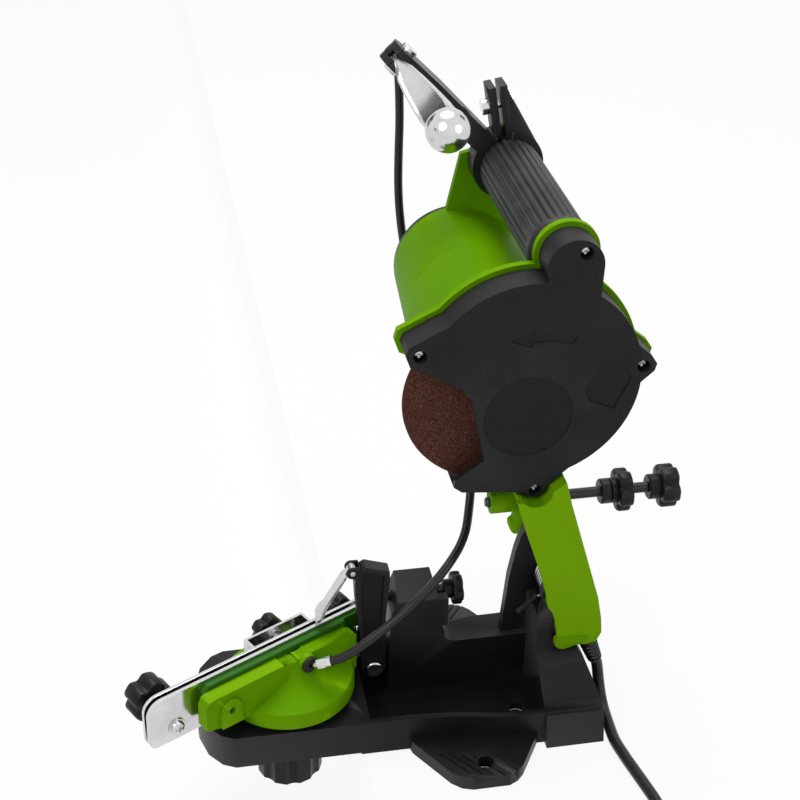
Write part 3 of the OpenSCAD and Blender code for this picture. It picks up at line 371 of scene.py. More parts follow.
@dataclass(frozen=True)
class Metal:
    """Plated or brushed metal with fine drawing lines and faint smudges."""

    colour: Colour
    stain: Colour
    rough: float = 0.12
    rough_swing: float = 0.12
    lines: Point = (90.0, 900.0, 900.0)
    line_height: float = 0.000008
    metallic: float = 1.0

    def dress(self, shader: Shader) -> bpy.types.Material:
        """Builds the surface's nodes.

        Args:
            shader: the empty tree.

        Returns:
            The material.
        """
        drawn = shader.noise(1.0, 3.0, shader.stretched(self.lines))
        smudge = shader.ramp(shader.noise(45.0, 5.0), (0.42, 0.0), (0.74, 1.0))
        colour = shader.mix(0.55 * smudge, self.colour, self.stain)
        rough = self.rough + smudge * self.rough_swing + (drawn - 0.5) * self.rough_swing
        return shader.finish(
            Base_Color=colour, Roughness=rough, Metallic=self.metallic,
            Normal=shader.bump(drawn, self.line_height),
        )


@dataclass(frozen=True)
class Rubber:
    """Dull rubber or soft sheathing with pores, rubbed greyer patches, and edges greyed partly by wear
    and partly as a painted highlight.
    """

    colour: Colour
    rubbed_and_highlight: Colour
    rough: float = 0.5
    pores: float = 900.0
    pore_height: float = 0.00006
    shine: float = 0.3

    def dress(self, shader: Shader) -> bpy.types.Material:
        """Builds the surface's nodes.

        Args:
            shader: the empty tree.

        Returns:
            The material.
        """
        pores = shader.noise(self.pores, 3.0)
        wear = shader.ramp(shader.noise(38.0, 5.0), (0.4, 0.0), (0.72, 1.0))
        colour = shader.mix(wear * 0.6, self.colour, self.rubbed_and_highlight)
        # Greyer ridges and edges: partly wear, partly a painted highlight along them
        colour = shader.mix(shader.edges() * 0.5, colour, self.rubbed_and_highlight)
        return shader.finish(
            Base_Color=colour, Roughness=self.rough + (pores - 0.5) * 0.2,
            Normal=shader.bump(pores, self.pore_height), Specular_IOR_Level=self.shine,
        )


@dataclass(frozen=True)
class Abrasive:
    """Bonded grinding grit: packed grains with darker and paler ones among them."""

    colour: Colour = (0.12, 0.042, 0.028)
    dark: Colour = (0.045, 0.014, 0.01)
    pale: Colour = (0.3, 0.15, 0.11)
    grain: float = 1900.0

    def dress(self, shader: Shader) -> bpy.types.Material:
        """Builds the surface's nodes.

        Args:
            shader: the empty tree.

        Returns:
            The material.
        """
        cells = {"Vector": shader.place(), "Scale": self.grain}
        shape = shader.add("ShaderNodeTexVoronoi", None, cells)
        fine = {"Vector": shader.place(), "Scale": 1500.0, "Detail": 4.0}
        tone = shader.add("ShaderNodeTexNoise", None, fine)
        cloud = shader.noise(60.0, 4.0)
        colour = shader.mix(shader.ramp(tone, (0.36, 0.0), (0.56, 1.0)), self.dark, self.colour)
        colour = shader.mix(shader.ramp(tone, (0.6, 0.0), (0.68, 1.0)) * 0.8, colour, self.pale)
        colour = shader.mix(cloud * 0.35, colour, self.dark)
        return shader.finish(
            Base_Color=colour, Roughness=0.82 + (cloud - 0.5) * 0.2, Specular_IOR_Level=0.15,
            Normal=shader.bump(shape, 0.00025, 0.8),
        )


@dataclass(frozen=True)
class Layered:
    """Stacked laminations or close windings, banded along the spindle."""

    colour: Colour
    groove: Colour
    pitch: float = 0.0012
    rough: float = 0.4
    metallic: float = 0.8

    def dress(self, shader: Shader) -> bpy.types.Material:
        """Builds the surface's nodes.

        Args:
            shader: the empty tree.

        Returns:
            The material.
        """
        bands = shader.add(
            "ShaderNodeTexWave", {"bands_direction": "Y", "wave_profile": "SIN"},
            {"Vector": shader.place(), "Scale": 0.314 / self.pitch, "Distortion": 0.4, "Detail": 2.0},
            out="Fac",
        )
        cloud = shader.noise(80.0, 4.0)
        colour = shader.mix(bands, self.groove, self.colour)
        return shader.finish(
            Base_Color=shader.mix(cloud * 0.4, colour, self.groove), Metallic=self.metallic,
            Roughness=self.rough + (cloud - 0.5) * 0.2, Normal=shader.bump(bands, 0.00015),
        )


FINISHES = {
    Slot.BASE: Moulded(
        (0.013, 0.013, 0.0135), (0.009, 0.009, 0.0095), (0.11, 0.11, 0.112), 0.38, 0.12,
        edge_wear_and_highlight=0.55, shine=0.14,
    ),
    # The green's edge colour is the lit rim's colour, a painted highlight on its edges
    Slot.GREEN: Moulded(
        (0.15, 0.372, 0.0006), (0.122, 0.322, 0.0004), (0.34, 0.62, 0.008), 0.45, 0.1,
        grain=1100.0, grain_height=0.00004, edge_wear_and_highlight=0.35, shine=0.02,
    ),
    Slot.DEEP_GREEN: Moulded((0.03, 0.15, 0.006), (0.016, 0.105, 0.012), (0.1, 0.26, 0.03), shine=0.12),
    Slot.GUARD: Moulded(
        (0.014, 0.014, 0.0145), (0.0105, 0.0105, 0.011), (0.06, 0.06, 0.062), 0.46, 0.1,
        grain=1500.0, grain_height=0.00004, speckle=0.04, shine=0.13,
    ),
    Slot.KNOB: Moulded(
        (0.009, 0.009, 0.0095), (0.006, 0.006, 0.0065), (0.05, 0.05, 0.052), 0.34, 0.12, shine=0.16
    ),
    Slot.CHROME: Metal((0.68, 0.68, 0.69), (0.42, 0.42, 0.42)),
    Slot.STEEL: Metal((0.66, 0.66, 0.67), (0.42, 0.42, 0.43), 0.24, 0.14),
    Slot.BLACK_STEEL: Metal((0.085, 0.085, 0.088), (0.03, 0.03, 0.031), 0.26, 0.14, metallic=0.9),
    Slot.GRIP: Rubber((0.013, 0.013, 0.0135), (0.06, 0.06, 0.062), 0.44, shine=0.22),
    Slot.LEAD: Rubber((0.0095, 0.0095, 0.01), (0.022, 0.022, 0.023), 0.32, 500.0, 0.00002),
    Slot.WHEEL: Abrasive(),
    Slot.COPPER: Layered((0.62, 0.22, 0.08), (0.2, 0.06, 0.03), 0.0009),
    Slot.CORE: Layered((0.32, 0.32, 0.33), (0.1, 0.1, 0.1), 0.001, 0.45),
    Slot.SWITCH: Moulded(
        (0.42, 0.012, 0.01), (0.33, 0.008, 0.008), (0.6, 0.08, 0.07), 0.28, 0.08, coat=0.3
    ),
}


# ---------------------------------------------------------------- meshes


def smoothed(points: Sequence[Point], steps: int) -> list[Vector]:
    """A round curve through the points.

    Args:
        points: what it runs through.
        steps: pieces between two of them.

    Returns:
        The curve's points.
    """
    p = [Vector(q) for q in points]
    p = [2 * p[0] - p[1], *p, 2 * p[-1] - p[-2]]
    out = []
    for i in range(1, len(p) - 2):
        a, b, c, d = p[i - 1 : i + 3]
        for k in range(steps):
            t = k / steps
            square, cube = (2 * a - 5 * b + 4 * c - d) * t**2, (3 * b - a - 3 * c + d) * t**3
            out.append(0.5 * (2 * b + (c - a) * t + square + cube))
    out.append(p[-2])
    return out


def length_of(points: Sequence[Vector]) -> float:
    """The length of a line through the points."""
    return sum((b - a).length for a, b in zip(points, points[1:]))


def oblong(x0: float, y0: float, x1: float, y1: float) -> Pairs:
    """A rectangle's corners, counter-clockwise from the lowest."""
    return [(x0, y0), (x1, y0), (x1, y1), (x0, y1)]


def circle(r: float, z: float, n: int) -> Ring:
    """A round ring at height z."""
    return [Vector((r * math.cos(TURN * k / n), r * math.sin(TURN * k / n), z)) for k in range(n)]


@dataclass
class Skin:
    """A mesh under construction, in millimetres."""

    points: list[Vector] = field(default_factory=list)
    faces: list[Face] = field(default_factory=list)

    def loft(self, rings: Sequence[Ring], closed: bool = False) -> "Skin":
        """Joins rings of equal count with walls, and fills the first and the last.

        Args:
            rings: the rings in order.
            closed: whether the last joins the first instead.

        Returns:
            This skin.
        """
        n, start = len(rings[0]), len(self.points)
        for ring in rings:
            self.points += ring
        count = len(rings)
        for i in range(count if closed else count - 1):
            a, b = start + i * n, start + ((i + 1) % count) * n
            self.faces += [(a + k, a + (k + 1) % n, b + (k + 1) % n, b + k) for k in range(n)]
        if not closed:
            last = start + (count - 1) * n
            self.faces.append(tuple(start + k for k in reversed(range(n))))
            self.faces.append(tuple(last + k for k in range(n)))
        return self

    def lathe(self, profile: Pairs, n: int = 48, at: Matrix = Matrix()) -> "Skin":
        """Turns a profile of (radius, height) about Z.

        Args:
            profile: from one end to the other; a first or last radius of 0 closes it.
            n: steps round.
            at: where it goes.

        Returns:
            This skin.
        """
        return self.loft([[at @ v for v in circle(max(r, LEAST), z, n)] for r, z in profile])

    def tube(self, path: Sequence[Vector], radius: float, n: int = 12) -> "Skin":
        """Sweeps a circle along a path.

        Args:
            path: the centre line.
            radius: the circle's.
            n: sides.

        Returns:
            This skin.
        """
        rings, across = [], None
        for i, p in enumerate(path):
            way = (path[min(i + 1, len(path) - 1)] - path[max(i - 1, 0)]).normalized()
            if across is None:
                across = way.orthogonal()
            across = (across - way * across.dot(way)).normalized()
            other = way.cross(across)
            rings.append([p + across * v.x + other * v.y for v in circle(radius, 0, n)])
        return self.loft(rings)

    def slab(self, outline: Pairs, low: float, high: float, at: Matrix = Matrix()) -> "Skin":
        """Raises an outline from z = low to z = high.

        Args:
            outline: its corners, counter-clockwise.
            low: its underside.
            high: its top.
            at: where it goes.

        Returns:
            This skin.
        """
        return self.loft([[at @ Vector((x, y, z)) for x, y in outline] for z in (low, high)])

    def make(self, name: str) -> bpy.types.Object:
        """Turns the skin into an object, in metres.

        Args:
            name: the object's name.

        Returns:
            The object.
        """
        mesh = bpy.data.meshes.new(name)
        mesh.from_pydata([p * MM for p in self.points], [], self.faces)
        shape = bmesh.new()
        shape.from_mesh(mesh)
        bmesh.ops.recalc_face_normals(shape, faces=shape.faces)
        shape.to_mesh(mesh)
        shape.free()
        thing = bpy.data.objects.new(name, mesh)
        bpy.context.scene.collection.objects.link(thing)
        return thing


def along(axis: str, x: float, y: float, z: float) -> Matrix:
    """A frame at a point whose Z runs along an axis.

    Args:
        axis: +x, -x, +y, -y, +z or -z.
        x: the point's X.
        y: the point's Y.
        z: the point's Z.

    Returns:
        The frame.
    """
    sign = 1 if axis[0] == "+" else -1
    way = Vector([sign * float(letter == axis[1]) for letter in "xyz"])
    return Matrix.Translation((x, y, z)) @ way.to_track_quat("Z", "Y").to_matrix().to_4x4()


@dataclass
class Workshop:
    """Dresses the pieces, and hands them to the frame."""

    materials: dict[Slot, bpy.types.Material] = field(default_factory=dict)

    def paint(self, slot: Slot) -> bpy.types.Material:
        """The material of a slot, built once.

        Args:
            slot: the slot.

        Returns:
            Its material.
        """
        if slot not in self.materials:
            self.materials[slot] = FINISHES[slot].dress(Shader(slot.value))
        return self.materials[slot]

    def dress(self, thing: bpy.types.Object, slot: Slot, crease: float = CREASE) -> bpy.types.Object:
        """Gives a piece its material and smooth shading.

        Args:
            thing: the piece.
            slot: its finish.
            crease: degrees above which an edge stays sharp.

        Returns:
            The piece.
        """
        thing.data.materials.clear()
        thing.data.materials.append(self.paint(slot))
        if thing.type == "MESH" and "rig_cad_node" not in thing:
            thing.data.shade_smooth()
            thing.data.set_sharp_from_angle(angle=math.radians(crease))
        return thing

    def fit(
        self,
        thing: bpy.types.Object,
        slot: Slot,
        body: Optional[Body],
        replaces: Sequence[str] = (),
        crease: float = CREASE,
    ) -> bpy.types.Object:
        """Dresses a new piece, rides it and lets it stand for CAD nodes.

        Args:
            thing: the piece.
            slot: its finish.
            body: what it rides on, or None where it rides on nothing.
            replaces: the CAD nodes that it stands for.
            crease: degrees above which an edge stays sharp.

        Returns:
            The piece.
        """
        self.dress(thing, slot, crease)
        if body is not None:
            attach(thing, body.value)
        if replaces:
            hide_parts(*replaces)
        LOG.info("%s: %d faces", thing.name, len(thing.data.polygons) if thing.type == "MESH" else 0)
        return thing

    def keep(self, node: str, slot: Slot) -> None:
        """Gives a CAD node that stays its better material.

        Args:
            node: the CAD node.
            slot: its finish.
        """
        thing = frame["nodes"][node]
        for place in thing.material_slots:
            place.material = self.paint(slot)
        LOG.info("%s: kept", node)

    def rounded(
        self, node: str, slot: Slot, body: Body, width: float = 0.6, name: Optional[str] = None
    ) -> bpy.types.Object:
        """Stands a copy with rounded edges in for a CAD node.

        Args:
            node: the CAD node.
            slot: its finish.
            body: what it rides on.
            width: how far the rounding reaches, in millimetres.
            name: the piece's name.

        Returns:
            The piece.
        """
        mesh = frame["nodes"][node].data.copy()
        shape = bmesh.new()
        shape.from_mesh(mesh)
        bmesh.ops.remove_doubles(shape, verts=shape.verts, dist=2e-5)
        flat = math.radians(1.2)
        bmesh.ops.dissolve_limit(shape, angle_limit=flat, verts=shape.verts, edges=shape.edges)
        bmesh.ops.recalc_face_normals(shape, faces=shape.faces)
        for share in (1.0, 0.35):
            self._round(shape, width * share * MM)
        bmesh.ops.triangulate(shape, faces=[f for f in shape.faces if len(f.verts) > 4])
        shape.to_mesh(mesh)
        shape.free()
        piece = bpy.data.objects.new(name or f"{node}_moulding", mesh)
        bpy.context.scene.collection.objects.link(piece)
        self.fit(piece, slot, body, (node,))
        even = piece.modifiers.new("even", "WEIGHTED_NORMAL")
        even.keep_sharp = True
        return piece

    def _round(self, shape: bmesh.types.BMesh, width: float) -> None:
        """Bevels the sharp edges that have room for it.

        Args:
            shape: the mesh.
            width: the bevel's width, in metres.
        """
        angle, room, least_run, roomy = math.radians(32), 2.1, 0.4, []
        sharp = {e for e in shape.edges if len(e.link_faces) == 2 and e.calc_face_angle(0.0) > angle}
        for edge in sharp:
            near = [o for v in edge.verts for o in v.link_edges if o is not edge]
            beside = [o.calc_length() for o in near if o not in sharp]
            along_it = [edge.calc_length()] + [o.calc_length() for o in near if o in sharp]
            if min(beside, default=1.0) > room * width and min(along_it) > least_run * width:
                roomy.append(edge)
        if roomy:
            bmesh.ops.bevel(
                shape, geom=roomy, offset=width, offset_type="OFFSET", segments=2, profile=0.5,
                affect="EDGES", clamp_overlap=True,
            )


# ---------------------------------------------------------------- knobs, screws and springs


@dataclass
class LobedKnob:
    """Moulded knob with finger lobes on a plain hub."""

    radius: float
    height: float
    hub_radius: float
    hub_height: float
    bore: float
    lobes: int = 5
    dip: float = 0.21
    steps: int = 14
    groove: float = 0.0

    def _ring(self, r: float, z: float, share: float) -> Ring:
        """A ring that is lobed by a share.

        Args:
            r: the radius at the lobes' tips.
            z: the height.
            share: 0 for round, 1 for fully lobed.

        Returns:
            The ring.
        """
        n, half, ring = self.lobes * self.steps, math.radians(24), []
        for k in range(n):
            a = TURN * k / n
            off = (a + TURN / self.lobes / 2) % (TURN / self.lobes) - TURN / self.lobes / 2
            cut = 0.5 * (1 + math.cos(math.pi * off / half)) if abs(off) < half else 0.0
            here = r - share * self.dip * self.radius * cut
            ring.append(Vector((here * math.cos(a), here * math.sin(a), z)))
        return ring

    def skin(self, at: Matrix) -> Skin:
        """The knob's mesh.

        Args:
            at: where its underside is.

        Returns:
            The skin.
        """
        r, h, low, hub, g = self.radius, self.height, self.hub_height, self.hub_radius, self.groove
        e, sunk = min(1.6, (h - low) * 0.22), hub - 1.8
        groove = [(hub, g - 0.5, 0), (sunk, g - 0.4, 0), (sunk, g + 0.4, 0), (hub, g + 0.5, 0)]
        cut = groove if g else []
        # Radius, height and share of the lobes
        rows = [
            (self.bore, 0.0, 0), (hub - 0.7, 0.0, 0), (hub, 0.7, 0), *cut, (hub, low - 0.5, 0),
            (hub + 0.7, low, 0), (r - e * 1.3, low, 1), (r - e * 0.35, low + e * 0.35, 1),
            (r, low + e, 1), (r, h - e, 1), (r - e * 0.3, h - e * 0.3, 1), (r - e, h, 1),
            (r * 0.66, h, 0.5), (r * 0.5, h, 0), (r * 0.45, h - 0.35, 0), (r * 0.42, h - 1.2, 0),
            (0.3, h - 1.3, 0),
        ]
        return Skin().loft([[at @ v for v in self._ring(*row)] for row in rows])

    def fit(self, shop: Workshop, name: str, at: Matrix, body: Body, node: str) -> None:
        """Builds the knob and stands it in for its node.

        Args:
            shop: what dresses it.
            name: the piece's name.
            at: where its underside is.
            body: what it rides on.
            node: the CAD node.
        """
        shop.fit(self.skin(at).make(name), Slot.KNOB, body, (node,))


@dataclass
class ScrewThread:
    """Threaded rod, its ridges turned as rings a pitch apart."""

    radius: float = 3.0
    pitch: float = 1.0
    depth: float = 0.6
    sides: int = 24
    rows: int = 6

    def skin(self, length: float, at: Matrix) -> Skin:
        """The rod's mesh.

        Args:
            length: how long it is.
            at: where it starts.

        Returns:
            The skin.
        """
        count, rings = round(length / self.pitch * self.rows), []
        for i in range(count + 1):
            z = length * i / count
            taper = max(0.0, 1 - min(z, length - z) / 1.2) * 0.8
            ring = []
            for k in range(self.sides):
                phase = (z / self.pitch - k / self.sides) % 1
                ridge = min(1.0, 2.4 * (1 - abs(2 * phase - 1)))
                r = self.radius - self.depth * (1 - ridge) - taper
                a = TURN * k / self.sides
                ring.append(at @ Vector((r * math.cos(a), r * math.sin(a), z)))
            rings.append(ring)
        return Skin().loft(rings)

    def fit(
        self,
        shop: Workshop,
        name: str,
        length: float,
        at: Matrix,
        slot: Slot,
        body: Body,
        nodes: Sequence[str] = (),
    ) -> None:
        """Builds a rod and hands it over.

        Args:
            shop: what dresses it.
            name: the piece's name.
            length: how long it is.
            at: where it starts.
            slot: its finish.
            body: what it rides on.
            nodes: the CAD nodes that it stands for.
        """
        shop.fit(self.skin(length, at).make(name), slot, body, nodes, COIL_CREASE)


M5_ROD = ScrewThread(2.5, 0.8, 0.35, 20)


@dataclass
class CrossHead:
    """Domed screw head with a cross recess, and a washer where it has one."""

    radius: float
    height: float
    washer: float = 0.0

    def build(self, name: str, at: Matrix) -> bpy.types.Object:
        """Cuts the recess out of the dome.

        Args:
            name: the piece's name.
            at: where the head sits; its Z points out.

        Returns:
            The head.
        """
        r, h = self.radius, self.height
        dome = ((0, 0), (0.96, 0), (1, 0.16), (0.97, 0.45), (0.8, 0.78), (0.5, 0.96), (0, 1))
        body = Skin().lathe([(r * x, h * z) for x, z in dome], 40, at)
        if self.washer:
            w, hole = self.washer, r * 0.5
            rim = [(w - 0.15, -0.9), (w, -0.75), (w, -0.15), (w - 0.15, 0.02)]
            body.lathe([(hole, -0.9), *rim, (hole, 0.02)], 48, at)
        head = body.make(name)
        bar, tip, cutter = r * 0.17, r * 0.62, Skin()
        for x, y in ((tip, bar), (bar, tip)):
            cutter.slab(oblong(-x, -y, x, y), h * 0.38, h * 1.6, at)
        tool = cutter.make(f"{name}_tool")
        cut = head.modifiers.new("recess", "BOOLEAN")
        cut.object, cut.solver, cut.use_self = tool, "EXACT", True
        view = bpy.context.evaluated_depsgraph_get()
        mesh = bpy.data.meshes.new_from_object(head.evaluated_get(view))
        head.modifiers.clear()
        head.data = mesh
        bpy.data.objects.remove(tool)
        return head


# ---------------------------------------------------------------- leads

CORD = [
    (74.5, -12, 29), (75.8, -12, 25.7), (76.7, -12.6, 20.5), (77.1, -14.4, 15), (77.3, -18.5, 9),
    (77.3, -23.5, 5.2), (77, -30, 3.6), (76.3, -42, 3.3), (76, -53, 3.3), (77.3, -63, 3.3),
    (79, -73, 3.3), (82, -89, 3.3), (84, -101, 3.3), (85, -114, 3.3), (84.4, -127, 3.3),
    (83, -140, 3.3), (81.7, -153, 3.3), (81.2, -161, 3.3), (81.2, -169, 3.3),
]
CABLE_TOP = [
    (-12, 157, 331), (-12, 162.5, 331), (-11.6, 168.2, 328.4), (-10.4, 172.4, 322), (-9, 173.6, 313),
    (-8.2, 173.6, 300), (-8, 172.5, 284), (-8.5, 171, 266), (-8.8, 169, 248), (-8.2, 166.4, 231),
    (-6.4, 162.6, 213), (-3.8, 157.6, 197), (-0.8, 150.4, 183.6), (2.2, 141, 174.4), (4.8, 130, 169.4),
    (7, 119, 168), (8.6, 109, 168), (9.6, 99, 168.4),
]
CABLE_LOW = [
    (9.6, 99, 168.4), (10.4, 91, 168.7), (11, 82, 165.6), (11.4, 72, 158.6), (11.6, 62, 150),
    (11.5, 53, 140.4), (11, 45, 132), (9.4, 36, 121.6), (6.6, 27, 112.6), (2.9, 17, 106.4),
    (-2.3, 8, 102.4), (-9, 0, 98.8), (-15.9, -6, 94.7), (-23.2, -11, 90.4), (-30.5, -15, 86),
    (-37.6, -18, 81.6), (-44.2, -20, 77.4), (-50.6, -21.4, 73.2), (-58.2, -22, 67.6), (-66, -22, 61.7),
    (-73.4, -21, 56.7), (-77.8, -19.6, 54.6),
]


@dataclass
class MainsLead:
    """The mains lead from the strain relief to its plug, its spare length coiled."""

    radius: float = 3.25
    centre: tuple[float, float] = (131.0, -176.0)
    outer: float = 49.8
    step: float = 7.2
    turns: int = 6
    floor: float = 3.3
    run_out: float = 44.0

    def coil(self) -> list[Point]:
        """Runs the coil in along the bench, up, and out again over it.

        Returns:
            The coil's centre line.
        """
        half, points = self.turns / 2, []
        for i in range(24 * self.turns + 1):
            t = i / 24
            climb = min(1.0, max(0.0, (t - half) * 2 + 0.5))
            a = math.pi + TURN * t
            r = self.outer - self.step * min(t, half) + self.step * max(0.0, t - half)
            x, y = self.centre[0] + r * math.cos(a), self.centre[1] + r * math.sin(a)
            points.append((x, y, self.floor + climb * self.step))
        x, y, z = points[-1]
        return [*points, (x, y - self.run_out / 2, z), (x, y - self.run_out, z)]

    def build(self, shop: Workshop) -> None:
        """Builds the lead, its tie and its plug.

        Args:
            shop: what dresses them.
        """
        path = smoothed([*CORD, *self.coil()], 3)
        lead = Skin().tube(path, self.radius, 12).make("mains_lead")
        shop.fit(lead, Slot.LEAD, None, ("power_cord", "cord_coil"))
        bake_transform(lead)
        plug, pins = self._plug(path[-1])
        shop.fit(plug, Slot.LEAD, Body.BASE, ("mains_plug",))
        shop.fit(pins, Slot.STEEL, Body.BASE)
        tie = self._tie()
        shop.fit(tie, Slot.GRIP, Body.BASE)
        length_of(path) * MM
        [p * MM for p in path]
        LOG.info("lead: %.3f m", length_of(path) * MM)

    def _plug(self, at: Vector) -> tuple[bpy.types.Object, bpy.types.Object]:
        """The plug's body and its two round pins.

        Args:
            at: the end of the lead.

        Returns:
            The body and the pins.
        """
        place = along("-y", *at)
        sections = [
            (0, 3.7, 3.7, 2), (0.6, 4.0, 4.0, 2), (5, 4.3, 4.3, 2), (11, 4.8, 4.8, 2),
            (15, 6.2, 5.6, 2.2), (17.5, 10.4, 7.6, 2.6), (20, 13.4, 9.4, 3), (22.5, 13.0, 9.9, 3.4),
            (26, 13.6, 10.1, 3.6), (31, 15.3, 10.2, 4), (37, 15.9, 10.3, 4.4), (42, 15.9, 10.3, 4.4),
            (43.4, 15.4, 9.9, 4.2), (44, 14.4, 9.0, 4),
        ]
        rings, n = [], 48
        for depth, wide, tall, power in sections:
            ring = []
            for k in range(n):
                c, s = math.cos(TURN * k / n), math.sin(TURN * k / n)
                x = math.copysign(abs(c) ** (2 / power), c) * wide
                z = math.copysign(abs(s) ** (2 / power), s) * tall
                ring.append(Vector((at.x + x, at.y - depth, at.z + z)))
            rings.append(ring)
        body = Skin().loft(rings)
        for k in range(3):
            low, rib = 2.6 + 3.4 * k, 4.7 + 0.2 * k
            body.lathe([(3.6, low), (rib, low + 0.2), (rib, low + 1.4), (3.6, low + 1.6)], 32, place)
        pins = Skin()
        for side in (-9.5, 9.5):
            pin = [(2.4, 43), (2.4, 60.4), (2.0, 61.6), (1.2, 62), (0, 62)]
            pins.lathe([(0, 43), *pin], 24, Matrix.Translation((side, 0, 0)) @ place)
        return body.make("plug_body"), pins.make("plug_pins")

    def _tie(self) -> bpy.types.Object:
        """Builds a thin strap round the coil's turns.

        Returns:
            The strap.
        """
        inner = self.outer - self.step * self.turns / 2 - self.radius - 0.3
        outer = self.outer + self.radius + 0.2
        top = self.floor + self.step + self.radius
        thick, half, corner, rings = 0.7, 4.5, 3.0, []
        loop = []
        for q, (cx, cz) in enumerate(oblong(inner + corner, corner, outer - corner, top - corner)):
            for k in range(7):
                a = math.pi + (q + k / 6) * math.pi / 2
                loop.append((cx, cz, math.cos(a), math.sin(a)))
        for cx, cz, nx, nz in loop:
            ring = []
            for y, reach in ((-half, 0.0), (-half, thick), (half, thick), (half, 0.0)):
                r = corner + reach
                z = max(0.02 if reach else 0.06, cz + nz * r)
                ring.append(Vector((self.centre[0] + cx + nx * r, self.centre[1] + y, z)))
            rings.append(ring)
        return Skin().loft(rings, closed=True).make("coil_tie")


@dataclass
class ClampCable:
    """Sleeved cable from the lever down to the vise, in three parts, only the upper one riding a body.
    """

    radius: float = 2.5
    split: int = 13

    def build(self, shop: Workshop) -> None:
        """Builds the upper part, the free part and the vise's end.

        Args:
            shop: what dresses them.
        """
        steps = 5
        upper = smoothed(CABLE_TOP, steps)
        low = smoothed(CABLE_LOW, steps)
        cut = self.split * steps
        parts = {"cable_upper": upper, "cable_free": low[: cut + 1], "cable_end": low[cut:]}
        for name, path in parts.items():
            piece = Skin().tube(path, self.radius, 14).make(name)
            body = Body.HEAD if name == "cable_upper" else None
            node = "clamp_cable_upper" if name == "cable_upper" else "clamp_cable_lower"
            shop.fit(piece, Slot.LEAD, body, (node,))
            if name == "cable_free":
                path[0] * MM
                path[-1] * MM
                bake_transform(piece)
            if name == "cable_end":
                path[0] * MM
                path[-1] * MM
                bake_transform(piece)
            path[0] * MM
            length_of(path) * MM
            [p * MM for p in path]
            LOG.info("%s: %.3f m", name, length_of(path) * MM)


# ---------------------------------------------------------------- head


